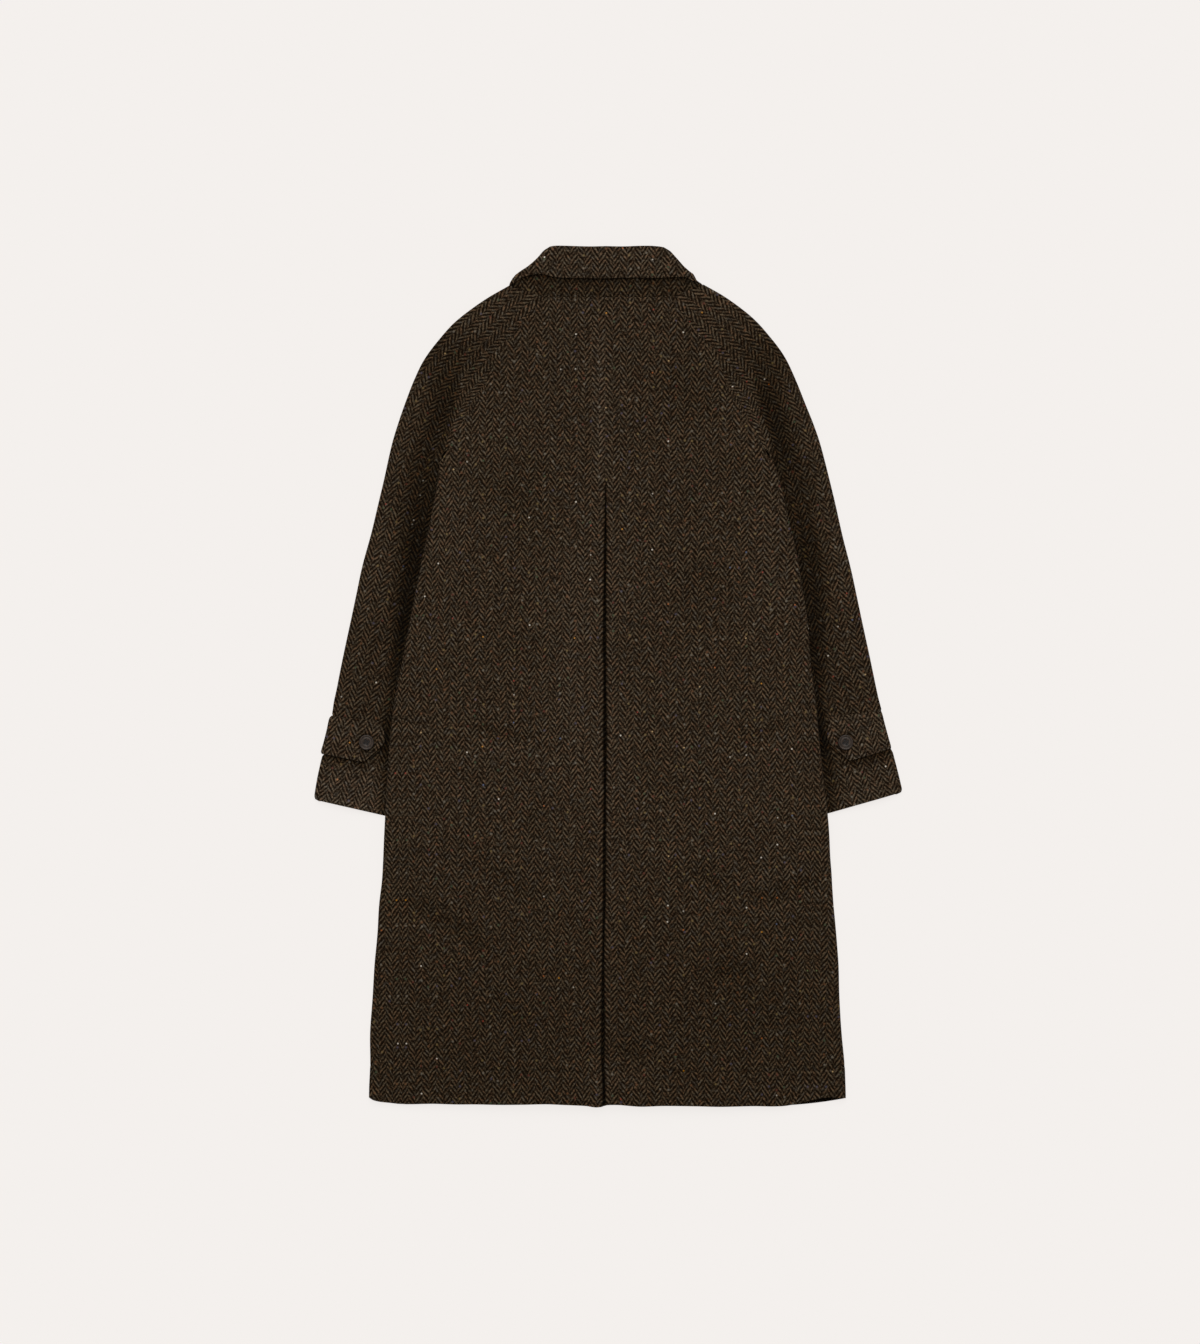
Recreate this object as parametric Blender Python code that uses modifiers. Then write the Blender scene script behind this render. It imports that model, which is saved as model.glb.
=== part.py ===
"""A tweed raglan coat, laid out flat with its back upwards.

+Z is up, +Y points to the collar and +X to the right of the back. The origin is on the floor, under the
middle of the coat. Sizes are in millimetres and become metres where a mesh is made. Right and left pieces
are the same table, read with the sign of X turned.
"""
import math

import bmesh
import bpy
from mathutils import Matrix, Vector

MM = 0.001
WELD = 1e-6
TURN_MERGE = 1e-5
SHARP_ANGLE = math.radians(40)

# Cloth: every layer is a wall, and layers and seams stay a seam's width apart
WALL = 2.0
SEAM = 0.3
LAYER = WALL + SEAM

# A fold turns through three corners of 60 degrees round its own middle
FOLD_HALF_TURN = math.radians(30)
FOLD_RADIUS = LAYER / 2 / math.cos(FOLD_HALF_TURN)
FOLD_INSET = FOLD_RADIUS * math.sin(FOLD_HALF_TURN)
FOLD_REACH = (LAYER + WALL) / 2 / math.cos(FOLD_HALF_TURN)

COAT_LENGTH = 1170.0
HEM_Y = -COAT_LENGTH / 2
ROLL_Y = COAT_LENGTH / 2
HEM_SIDE_RISE = 12.0
HEM_BOW_START = -400.0
HEM_BOW_HALF = 323.5
HEM_BOW_POWER = 6

# Raglan seams of the back and the front, and shoulder line, from the neck down to the underarm fold
RAGLAN = [  # y, back_x, front_x, edge_x, edge_y, loft
    (514.0, 84.0, 84.0, 133.0, 531.0, 0.0),
    (481.0, 113.0, 108.0, 167.0, 511.0, 0.6),
    (454.0, 133.0, 122.0, 202.0, 484.0, 1.2),
    (435.0, 147.0, 131.0, 226.0, 457.0, 1.8),
    (413.0, 158.0, 140.0, 245.5, 430.0, 2.2),
    (389.0, 166.0, 148.0, 259.0, 402.5, 2.6),
    (366.0, 179.5, 155.0, 270.0, 375.0, 2.8),
    (336.0, 201.0, 163.0, 280.0, 348.0, 2.8),
    (309.0, 214.0, 169.0, 289.0, 321.0, 2.8),
    (294.0, 222.0, 172.0, 296.0, 294.0, 2.8),
]

# Sleeve below the underarm: inner edges of its back and front, tucked under the body, and outer edge
SLEEVE = [  # y, back_x, front_x, edge_x, edge_y, loft
    (250.0, 202.0, 178.0, 309.0, 239.5, 2.8),
    (200.0, 186.0, 182.0, 321.0, 185.0, 2.8),
    (145.0, 182.0, 182.0, 335.0, 131.0, 3.0),
    (85.0, 180.0, 180.0, 347.0, 76.0, 3.0),
    (30.0, 182.0, 182.0, 358.5, 22.0, 3.0),
    (-30.0, 190.0, 190.0, 370.0, -32.5, 3.0),
    (-92.0, 206.0, 206.0, 383.5, -87.0, 3.0),
    (-152.0, 230.0, 230.0, 394.0, -134.0, 2.6),
    (-205.0, 252.0, 252.0, 400.0, -157.0, 1.0),
]

# Body below the underarm: side fold, and the side seam's girth from it over the back
BODY = [  # y, fold_x, seam_girth
    (290.0, 226.5, 4.0),
    (250.0, 235.0, 4.0),
    (200.0, 245.0, 4.0),
    (150.0, 255.5, 4.0),
    (103.0, 265.0, 4.0),
    (35.0, 277.0, 4.0),
    (-67.0, 291.0, 15.0),
    (-140.0, 297.0, 21.0),
    (-215.0, 302.0, 26.0),
    (-252.0, 304.0, 28.0),
    (-290.0, 306.0, 30.0),
    (-400.0, 314.5, 38.5),
    (-522.0, 322.0, 46.0),
    (HEM_Y, 323.5, 47.5),
]

# Where the front begins to turn round the side: rows that reach one fold corner more each
FRONT_TURN = [  # y, fold_corners
    (303.0, 0),
    (300.0, 1),
    (297.0, 2),
    (294.0, 3),
]

# Inverted pleat at the centre back
PLEAT = [  # y, fold_x, return_width, fold_corners
    (266.0, SEAM / 2, 0.0, 0),
    (262.0, SEAM / 2, 0.0, 1),
    (258.0, SEAM / 2, 0.0, 2),
    (254.0, SEAM / 2, 4.0, 3),
    (210.0, 0.3, 60.0, 3),
    (100.0, 1.0, 60.0, 3),
    (-30.0, 2.2, 60.0, 3),
    (HEM_Y, 2.7, 60.0, 3),
]
UNDERLAY_HALF = 68.0
UNDERLAY_TOP = 246.0

# What lifts a layer: the lap of the fronts, the pleat, the sleeve under the body, the collar's front leaf
LAP_HALF = 35.0
LAP_RAMP = (38.0, 54.0, 70.0)
MOUND_RAMP = (77.0, 130.0)
MOUND_LAYERS = 3.0
NECK_MOUND_LAYERS = 1.0
NECK_RAMP = (430.0, 482.0)
MOUND_FALL = (270.0, 430.0)
COLLAR_MOUND_LAYERS = 2.0
TUCK_RAMP = (0.27, 0.48)
TUCK_TOP = (366.0, 309.0)
TUCK_FOOT = (-290.0, -215.0)
TUCK_LAYERS = 2.0
BACK_LOFT = 0.8
SPAN_COLUMNS = (0.09, 0.18, 0.27, 0.34, 0.41, 0.48, 0.72)

SLEEVE_COLUMNS = (0.2, 0.4, 0.6, 0.8)
SLEEVE_RETURN = 10.0
COVER_MARGIN = 6.0
LOFT_POWER = 1.5

# Collar, a flattened ring: half width of its side, and the lower edges of its back and front
COLLAR_SIDE = [  # y, half_width
    (ROLL_Y, 76.0),
    (577.0, 87.0),
    (549.5, 115.0),
    (534.0, 130.0),
]
FALL_BACK_EDGE = [  # share of the half width, y
    (0.0, 539.0),
    (0.5, 540.0),
    (0.8, 544.0),
    (1.0, 535.0),
]
FALL_FRONT_EDGE = [  # share of the half width, y
    (0.0, 490.0),
    (0.5, 506.0),
    (1.0, 535.0),
]
ROLL_LINE = [  # share of the half width, y
    (0.0, ROLL_Y),
    (0.85, ROLL_Y - 0.5),
    (1.0, ROLL_Y - 4.0),
]
COLLAR_MIDDLE = 2 * LAYER + WALL / 2
FALL_RISE = 2 * LAYER
STAND_RISE = LAYER
ROLL_RETURN = 8.0
COLLAR_BACK_COLUMNS = 10
COLLAR_FRONT_COLUMNS = 5
COLLAR_SIDE_TURNS = 4
FALL_ROWS = 4
FRONT_GAP = 1.5
POINT_SPREAD = 20.0

# Cuff strap, from the outer edge of the sleeve inwards
STRAP_Y = -79.0
STRAP_HALF = 26.0
STRAP_LENGTH = 79.0
STRAP_SLOPE = math.radians(8)
STRAP_CLEAR = LAYER + 0.2
STRAP_ACROSS = [  # share of the half width, shortening of the end
    (-1.0, 17.0),
    (-0.86, 11.0),
    (0.0, 0.0),
    (0.86, 11.0),
    (1.0, 17.0),
]
STRAP_COLUMNS = (0.25, 0.45, 0.65, 0.85, 1.0)
STRAP_CORNER_DROP = 1.4
STRAP_CORNER_IN = 0.4

# Cuff button
BUTTON_X = 325.0
BUTTON_Y = -90.0
BUTTON_PROFILE = [  # radius, height
    (0.0, 2.4),
    (6.8, 2.4),
    (7.8, 3.2),
    (9.4, 3.2),
    (10.4, 2.4),
    (10.4, 1.0),
    (9.4, 0.0),
    (0.0, 0.0),
]
BUTTON_STEPS = 24
BUTTON_HOLE_RADIUS = 0.9
BUTTON_HOLE_CIRCLE = 2.3
BUTTON_HOLE_SIDES = 8

TWEED = (49, 39, 29)
TWEED_ROUGHNESS = 0.95
HORN = (74, 65, 58)
HORN_ROUGHNESS = 0.4


def smooth(value, start, end):
    """Ease from 0 at start to 1 at end."""
    share = min(max((value - start) / (end - start), 0.0), 1.0)
    return share * share * (3 - 2 * share)


def read(table, key, column):
    """Read a column of a table between its rows, by the first column."""
    rows = sorted(table)
    if key <= rows[0][0]:
        return rows[0][column]
    for low, high in zip(rows, rows[1:]):
        if key <= high[0]:
            share = (key - low[0]) / (high[0] - low[0])
            return low[column] + share * (high[column] - low[column])
    return rows[-1][column]


def fold_x(y):
    """Outermost line of the body's side fold."""
    return read(BODY, y, 1)


def tuck(x, y):
    """How far the body is lifted by the sleeve that is tucked under it, 0 to 1."""
    across = (x - LAP_RAMP[-1]) / (fold_x(y) - LAP_RAMP[-1])
    return smooth(across, *TUCK_RAMP) * smooth(y, *TUCK_TOP) * smooth(y, *TUCK_FOOT)


def floor_layers(y):
    """Layers under the front: the collar's front leaf near the neck."""
    return smooth(y, *NECK_RAMP)


def mound(x, y):
    """Extra layers under the back: the lap of the fronts and the pleat."""
    upper = MOUND_LAYERS + (COLLAR_MOUND_LAYERS - MOUND_LAYERS) * smooth(y, *MOUND_FALL)
    layers = upper + (NECK_MOUND_LAYERS - COLLAR_MOUND_LAYERS) * smooth(y, *NECK_RAMP)
    return layers * smooth(abs(x), MOUND_RAMP[1], MOUND_RAMP[0])


def front_level(x, y):
    """Height of the middle of the front's wall."""
    return WALL / 2 + LAYER * (floor_layers(y) + TUCK_LAYERS * tuck(x, y))


def back_level(x, y, reach):
    """Height of the middle of the back's wall, a little proud between the mound and its outer edge."""
    share = min(max((x - LAP_RAMP[-1]) / (reach - LAP_RAMP[-1]), 0.0), 1.0)
    return front_level(x, y) + LAYER * (1 + mound(x, y)) + BACK_LOFT * math.sin(math.pi * share)


def sleeve_edge(y):
    """Outer edge of the sleeve and its loft at a height on the coat."""
    rows = [(edge_y, edge_x, loft) for y, back_x, front_x, edge_x, edge_y, loft in RAGLAN + SLEEVE]
    return read(rows, y, 1), read(rows, y, 2)


def sleeve_cover(y):
    """Where the sleeve comes out from the raglan seam or, below it, from under the body."""
    seam = read(RAGLAN, y, 1)
    under = smooth(y, RAGLAN[-2][0], RAGLAN[-1][0])
    return seam + under * (fold_x(y) + COVER_MARGIN - seam)


def sleeve_level(x, y):
    """Height of the middle of the back sleeve's wall."""
    edge, loft = sleeve_edge(y)
    cover = sleeve_cover(y)
    share = min(max((x - cover) / (edge - cover), 0.0), 1.0)
    rise = loft * math.sin(math.pi * share) ** LOFT_POWER
    return WALL / 2 + LAYER * (1 + floor_layers(y) + mound(x, y)) + rise


def hem_bow(x, y):
    """The hem rises a little towards the sides."""
    share = max((HEM_BOW_START - y) / (HEM_BOW_START - HEM_Y), 0.0)
    return HEM_SIDE_RISE * share * (abs(x) / HEM_BOW_HALF) ** HEM_BOW_POWER


def fold_corners(edge, way, middle):
    """Corners of a fold that turns from the upper to the lower of two layers."""
    centre = edge - way * FOLD_REACH
    return [
        Vector((centre + way * FOLD_INSET, middle + LAYER / 2)),
        Vector((centre + way * FOLD_RADIUS, middle)),
        Vector((centre + way * FOLD_INSET, middle - LAYER / 2)),
    ]


def walls_of(path):
    """Pairs of points half a wall to each side of a line, mitred at its corners."""
    pairs = []
    for place, point in enumerate(path):
        before = path[max(place, 1) - 1]
        after = path[min(place + 1, len(path) - 1)]
        arriving = (point - before if place else after - point).normalized()
        leaving = (after - point if place + 1 < len(path) else point - before).normalized()
        normal = Vector((-arriving.y - leaving.y, arriving.x + leaving.x)).normalized()
        stretch = normal.dot(Vector((-arriving.y, arriving.x)))
        offset = normal * (WALL / 2 / stretch)
        pairs.append((point + offset, point - offset))
    return pairs


def padded(pairs, before, after):
    """Repeat the end pairs, so that rows that stop short keep their columns."""
    return [pairs[0]] * before + pairs + [pairs[-1]] * after


def principled(name, colour, roughness):
    """A plain material from an 8-bit screen colour."""
    material = bpy.data.materials.new(name)
    material.use_nodes = True
    shader = material.node_tree.nodes["Principled BSDF"]
    linear = [((part / 255 + 0.055) / 1.055) ** 2.4 for part in colour]
    shader.inputs["Base Color"].default_value = (*linear, 1.0)
    shader.inputs["Roughness"].default_value = roughness
    shader.inputs["Metallic"].default_value = 0.0
    return material


def add_object(name, mesh, collection, material):
    """Put a mesh into the scene under the piece's name."""
    mesh.materials.append(material)
    mesh.shade_smooth()
    mesh.set_sharp_from_angle(angle=SHARP_ANGLE)
    piece = bpy.data.objects.new(name, mesh)
    collection.objects.link(piece)
    return piece


def cloth(name, rows, collection):
    """Skin a wall of cloth through rows of point pairs, closed at both ends."""
    shape = bmesh.new()
    rings = []
    for row in rows:
        outline = [pair[0] for pair in row] + [pair[1] for pair in reversed(row)]
        rings.append([shape.verts.new(point * MM) for point in outline])
    count = len(rings[0])
    for ring, following in zip(rings, rings[1:]):
        for place in range(count):
            beside = (place + 1) % count
            shape.faces.new((ring[place], ring[beside], following[beside], following[place]))
    for ring in (rings[0], rings[-1]):
        for place in range(count // 2 - 1):
            opposite = count - 1 - place
            shape.faces.new((ring[place], ring[place + 1], ring[opposite - 1], ring[opposite]))
    bmesh.ops.remove_doubles(shape, verts=shape.verts, dist=WELD)
    bmesh.ops.dissolve_degenerate(shape, edges=shape.edges, dist=WELD)
    bmesh.ops.recalc_face_normals(shape, faces=shape.faces)
    mesh = bpy.data.meshes.new(name)
    shape.to_mesh(mesh)
    shape.free()
    return add_object(name, mesh, collection, principled(name + " tweed", TWEED, TWEED_ROUGHNESS))


def upright(pairs, y, side):
    """Stand a section's pairs of (x, z) points across the coat at a height on it."""
    return [tuple(Vector((side * p.x, y + hem_bow(p.x, y), p.y)) for p in pair) for pair in pairs]


def span_columns(reach):
    """Places across a body panel, from the lap's ramp to its outer edge."""
    start = LAP_RAMP[-1]
    return list(LAP_RAMP) + [start + share * (reach - start) for share in SPAN_COLUMNS]


def back_end(y, seam_girth):
    """Where the back stops at the side seam, measured from the fold over the back."""
    return fold_x(y) - FOLD_REACH + FOLD_INSET - (seam_girth - FOLD_RADIUS)


def back_rows():
    """Heights of the back's sections, with the outer edge of each."""
    ends = [(row[0], row[1], row[1]) for row in RAGLAN]
    ends += [(y, back_end(y, girth), edge) for y, edge, girth in BODY]
    heights = sorted({row[0] for row in ends} | {row[0] for row in PLEAT}, reverse=True)
    return [(y, read(ends, y, 1), read(ends, y, 2)) for y in heights]


def back_section(y, end, reach):
    """The back from the pleat's return, round the pleat's fold and over the top to its outer edge."""
    corners = round(read(PLEAT, y, 3))
    top = [Vector((x, back_level(x, y, reach))) for x in span_columns(reach)]
    top.append(Vector((end, back_level(end, y, reach))))
    if not corners:
        seam = Vector((SEAM / 2, back_level(0.0, y, reach)))
        return padded(walls_of([seam] + top), 3, 0)
    upper = back_level(0.0, y, reach)
    turn = fold_corners(read(PLEAT, y, 1), -1, upper - LAYER / 2)[:corners]
    width = read(PLEAT, y, 2)
    if width:
        turn.append(Vector((turn[-1].x + width, upper - LAYER)))
    path = turn[::-1] + top
    return padded(walls_of(path), 4 - len(turn), 0)


def add_back(name, side, collection):
    """Back panel, with the raglan seam, the side seam and half of the inverted pleat."""
    rows = [upright(back_section(*row), row[0], side) for row in back_rows()]
    return cloth(name, rows, collection)


def front_section(y, reach, corners, girth, lap_layers):
    """The front from the lap, along the floor and round the side fold to the side seam."""
    columns = [-LAP_HALF] + span_columns(reach)
    path = []
    for x in columns:
        lap = lap_layers * smooth(x, LAP_RAMP[-1], LAP_RAMP[0])
        path.append(Vector((x, front_level(x, y) + LAYER * lap)))
    level = front_level(reach, y)
    turn = fold_corners(fold_x(y), 1, level + LAYER / 2)[::-1]
    if corners:
        path += turn[:corners]
    else:
        path.append(Vector((reach, level)))
    if girth:
        path.append(Vector((back_end(y, girth) + SEAM, level + LAYER)))
    full = len(columns) + len(turn) + 1
    return padded(walls_of(path), 0, full - len(path))


def add_front(name, side, lap_layers, collection):
    """Front panel. The right one lies on the left one at the lap."""
    rows = [(row[0], row[2], 0, 0.0) for row in RAGLAN[:-1]]
    for y, corners in FRONT_TURN:
        reach = fold_x(y) if corners else read(RAGLAN, y, 1)
        rows.append((y, reach, corners, 0.0))
    rows += [(y, edge, 3, girth) for y, edge, girth in BODY]
    sections = [upright(front_section(*row, lap_layers), row[0], side) for row in rows]
    return cloth(name, sections, collection)


def back_sleeve_rows():
    """Inner and outer points of the back sleeve's sections, from the neck to the cuff."""
    return [(Vector((row[1] + SEAM, row[0])), Vector((row[3], row[4]))) for row in RAGLAN + SLEEVE]


def front_sleeve_rows():
    """Inner points of the front sleeve's sections, and outer points at its seam with the back sleeve."""
    rows = []
    under = FOLD_REACH - FOLD_INSET + SLEEVE_RETURN + SEAM
    for row, (back_inner, outer) in zip(RAGLAN + SLEEVE, back_sleeve_rows()):
        seam = outer + (back_inner - outer).normalized() * under
        rows.append((Vector((row[2] + SEAM, row[0])), seam))
    return rows


def slanted(pairs, inner, outer, side):
    """Stand a section's pairs of (distance, z) points along the line from its inner to its outer point."""
    way = (outer - inner).normalized()
    row = []
    for pair in pairs:
        plan = [inner + way * point.x for point in pair]
        row.append(tuple(Vector((side * at.x, at.y, point.y)) for at, point in zip(plan, pair)))
    return row


def cover_distance(inner, outer):
    """Distance along a sleeve section at which it comes out from under the body."""
    cover = sleeve_cover((inner.y + outer.y) / 2)
    return (outer - inner).length * max((cover - inner.x) / (outer.x - inner.x), 0.0)


def back_sleeve_section(inner, outer):
    """The back sleeve from its inner edge over the top and round the outer edge to its seam underneath."""
    way = (outer - inner).normalized()
    length = (outer - inner).length
    cover = cover_distance(inner, outer)
    places = [0.0, cover] + [cover + share * (length - cover) for share in SLEEVE_COLUMNS]
    spots = [inner + way * place for place in places]
    path = [Vector((place, sleeve_level(spot.x, spot.y))) for place, spot in zip(places, spots)]
    level = front_sleeve_level(outer.y)
    path += fold_corners(length, 1, level + LAYER / 2)
    path.append(Vector((path[-1].x - SLEEVE_RETURN, level)))
    if not cover:
        return padded(walls_of(path[1:]), 1, 0)
    return walls_of(path)


def front_sleeve_level(y):
    """Height of the middle of the front sleeve's wall."""
    return WALL / 2 + LAYER * floor_layers(y)


def front_sleeve_section(inner, outer):
    """The front sleeve, flat under the back sleeve as far as the back sleeve's seam."""
    length = (outer - inner).length
    path = []
    for share in (0.0, 0.5, 1.0):
        spot = inner.lerp(outer, share)
        path.append(Vector((share * length, front_sleeve_level(spot.y))))
    return walls_of(path)


def add_sleeve(name, section, ends, side, collection):
    """One panel of a raglan sleeve, from the end points of its sections."""
    rows = [slanted(section(inner, outer), inner, outer, side) for inner, outer in ends]
    return cloth(name, rows, collection)


def add_underlay(name, collection):
    """Strip under the inverted pleat."""
    bpy.ops.mesh.primitive_cube_add(size=1.0)
    strip = bpy.context.object
    strip.name = name
    strip.data.name = name
    low = 2 * LAYER
    size = Vector((2 * UNDERLAY_HALF, UNDERLAY_TOP - HEM_Y, WALL))
    centre = Vector((0.0, (UNDERLAY_TOP + HEM_Y) / 2, low + WALL / 2))
    strip.data.transform(Matrix.Translation(centre * MM) @ Matrix.Diagonal((*(size * MM), 1.0)))
    strip.data.materials.append(principled(name + " tweed", TWEED, TWEED_ROUGHNESS))
    for holder in strip.users_collection:
        holder.objects.unlink(strip)
    collection.objects.link(strip)
    return strip


def collar_columns():
    """Places round the collar: front left, left side, back, right side and front right.

    Each is the share of the half width, the turn round the side and whether it lies in front.
    """
    front = [(place / COLLAR_FRONT_COLUMNS, -math.pi / 2) for place in range(COLLAR_FRONT_COLUMNS)]
    turns = [(1.0, math.pi * (place / COLLAR_SIDE_TURNS - 0.5)) for place in range(COLLAR_SIDE_TURNS + 1)]
    half = COLLAR_BACK_COLUMNS // 2
    back = [(1 - place / half, math.pi / 2) for place in range(1, half)]
    right = [(share, turn, 1) for share, turn in front + turns + back]
    left = [(share, turn, -1) for share, turn, side in right]
    return right + [(0.0, math.pi / 2, 1)] + left[::-1]


def collar_point(column, y, rise, front_gap):
    """A point of the flattened ring, rise from its middle layer, at a height on the coat."""
    share, turn, side = column
    half = read(COLLAR_SIDE, y, 1) - FALL_RISE - WALL / 2
    x = share * half
    if turn < 0 and share < 1:
        x = front_gap + share * (half - front_gap)
    return Vector((side * (x + rise * math.cos(turn)), y, COLLAR_MIDDLE + rise * math.sin(turn)))


def blend(column, front_table, back_table):
    """Read a collar edge for a column: the front's, the back's or between them round the side."""
    share, turn, side = column
    back_share = 0.5 + turn / math.pi
    front_y = read(front_table, share, 1)
    return front_y + back_share * (read(back_table, share, 1) - front_y)


def point_gap(y):
    """Half the gap between the collar's front ends, wider towards the points."""
    return FRONT_GAP + POINT_SPREAD * smooth(y, ROLL_Y, FALL_FRONT_EDGE[0][1])


def add_fall(name, collection):
    """Collar fall: from its lower edge up to the roll, over it and a little way down inside."""
    rows = []
    for column in collar_columns():
        low = blend(column, FALL_FRONT_EDGE, FALL_BACK_EDGE)
        roll = read(ROLL_LINE, column[0], 1)
        turn = fold_corners(roll, 1, FALL_RISE - LAYER / 2)
        heights = [low + (turn[0].x - low) * place / FALL_ROWS for place in range(FALL_ROWS)]
        path = [Vector((y, FALL_RISE)) for y in heights] + turn
        path.append(Vector((roll - ROLL_RETURN, STAND_RISE)))
        pairs = walls_of(path)
        rows.append([tuple(collar_point(column, p.x, p.y, point_gap(p.x)) for p in pair) for pair in pairs])
    return cloth(name, rows, collection)


def neck_y(x):
    """Neck seam: level across the back, rising along the sleeves' tops."""
    y, seam_x, front_x, edge_x, edge_y, loft = RAGLAN[0]
    share = max((abs(x) - seam_x) / (edge_x - seam_x), 0.0)
    return y + share * (edge_y - y)


def add_stand(name, collection):
    """Collar stand, between the neck seam and the inside of the roll."""
    rows = []
    for column in collar_columns():
        outside = collar_point(column, COLLAR_SIDE[-1][0], STAND_RISE + WALL / 2, 0.0)
        low = neck_y(outside.x) + SEAM
        high = read(ROLL_LINE, column[0], 1) - ROLL_RETURN - SEAM
        row = []
        for y in (low, (low + high) / 2, high):
            rises = (STAND_RISE + WALL / 2, STAND_RISE - WALL / 2)
            row.append(tuple(collar_point(column, y, rise, SEAM / 2) for rise in rises))
        rows.append(row)
    return cloth(name, rows, collection)


def strap_plan(share, inward):
    """A plan point of the strap, at a share of its half width and a distance in from the sleeve's edge."""
    y = STRAP_Y + share * STRAP_HALF
    edge = sleeve_edge(y)[0]
    return Vector((edge - inward * math.cos(STRAP_SLOPE), y - inward * math.sin(STRAP_SLOPE)))


def strap_level(plan):
    """Height of the middle of the strap's wall on the sleeve."""
    return sleeve_level(plan.x, plan.y) + STRAP_CLEAR


def add_strap(name, side, collection):
    """Pointed cuff strap, from the floor up the sleeve's outer edge and over the back sleeve."""
    rows = []
    outside = SEAM + WALL / 2
    for share, shortening in STRAP_ACROSS:
        inner = strap_plan(share, STRAP_LENGTH - shortening)
        outer = strap_plan(share, 0.0)
        length = (outer - inner).length
        flat = strap_level(outer)
        path = [Vector((length + outside, 0.0)), Vector((length + outside, flat - STRAP_CORNER_DROP))]
        path.append(Vector((length - STRAP_CORNER_IN, flat)))
        for column in STRAP_COLUMNS:
            place = length * (1 - column)
            path.append(Vector((place, strap_level(inner + (outer - inner).normalized() * place))))
        rows.append(slanted(walls_of(path), inner, outer, side))
    return cloth(name, rows, collection)


def turned(name, profile, steps):
    """A profile of (radius, height) points, turned round the Z axis."""
    mesh = bpy.data.meshes.new(name)
    points = [(radius * MM, 0.0, height * MM) for radius, height in profile]
    mesh.from_pydata(points, [(place, place + 1) for place in range(len(points) - 1)], [])
    piece = bpy.data.objects.new(name, mesh)
    screw = piece.modifiers.new("Turn", "SCREW")
    screw.steps = steps
    screw.render_steps = steps
    screw.use_merge_vertices = True
    screw.merge_threshold = TURN_MERGE
    return piece


def add_hole_cutter(name, collection):
    """Four thread holes, as one cutter."""
    shape = bmesh.new()
    depth = 3 * max(row[1] for row in BUTTON_PROFILE) * MM
    for quarter in range(4):
        angle = math.radians(45 + 90 * quarter)
        spot = Vector((math.cos(angle), math.sin(angle), 0.0)) * BUTTON_HOLE_CIRCLE * MM
        bmesh.ops.create_cone(
            shape,
            cap_ends=True,
            segments=BUTTON_HOLE_SIDES,
            radius1=BUTTON_HOLE_RADIUS * MM,
            radius2=BUTTON_HOLE_RADIUS * MM,
            depth=depth,
            matrix=Matrix.Translation(spot),
        )
    mesh = bpy.data.meshes.new(name)
    shape.to_mesh(mesh)
    shape.free()
    cutter = bpy.data.objects.new(name, mesh)
    cutter.hide_render = True
    cutter.display_type = "WIRE"
    collection.objects.link(cutter)
    return cutter


def add_button(name, side, collection, cutters):
    """Turned button with a raised rim and four holes, lying on the strap."""
    button = turned(name, BUTTON_PROFILE, BUTTON_STEPS)
    collection.objects.link(button)
    button.data.materials.append(principled(name + " horn", HORN, HORN_ROUGHNESS))
    plan = Vector((BUTTON_X, BUTTON_Y))
    radius = max(row[0] for row in BUTTON_PROFILE)
    slopes = []
    for step in (Vector((radius, 0.0)), Vector((0.0, radius))):
        slopes.append((strap_level(plan + step) - strap_level(plan - step)) / (2 * radius))
    normal = Vector((-side * slopes[0], -slopes[1], 1.0)).normalized()
    seat = Vector((side * plan.x, plan.y, strap_level(plan)))
    place = (seat + normal * (WALL / 2 + SEAM)) * MM
    cutter = add_hole_cutter(name + "_holes", cutters)
    for piece in (button, cutter):
        piece.location = place
        piece.rotation_mode = "QUATERNION"
        piece.rotation_quaternion = Vector((0, 0, 1)).rotation_difference(normal)
    cut = button.modifiers.new("Holes", "BOOLEAN")
    cut.operation = "DIFFERENCE"
    cut.object = cutter
    return button


def new_collection(name):
    """A collection of the scene."""
    collection = bpy.data.collections.new(name)
    bpy.context.scene.collection.children.link(collection)
    return collection


def main():
    """Build the coat, piece by piece."""
    for old in list(bpy.data.objects):
        bpy.data.objects.remove(old, do_unlink=True)
    coat = new_collection("raglan_coat")
    cutters = new_collection("cutters")
    for word, side, lap_layers in (("left", -1, 0.0), ("right", 1, 1.0)):
        add_front("front_" + word, side, lap_layers, coat)
        add_back("back_" + word, side, coat)
        add_sleeve("sleeve_front_" + word, front_sleeve_section, front_sleeve_rows(), side, coat)
        add_sleeve("sleeve_back_" + word, back_sleeve_section, back_sleeve_rows(), side, coat)
        add_strap("cuff_strap_" + word, side, coat)
        add_button("cuff_button_" + word, side, coat, cutters)
    add_underlay("pleat_underlay", coat)
    add_stand("collar_stand", coat)
    add_fall("collar_fall", coat)


main()
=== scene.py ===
"""Looks of a tweed raglan coat, laid flat with its back upwards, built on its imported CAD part.

Sizes are in millimetres and become metres where a mesh is made. +X is to the right of the back, +Y points
to the collar and +Z up from the floor. A piece is worked out for the right side, and X changes sign for
the left.
"""
import math
from bisect import bisect_right

import bmesh
import bpy
from mathutils import Matrix, Vector


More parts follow.
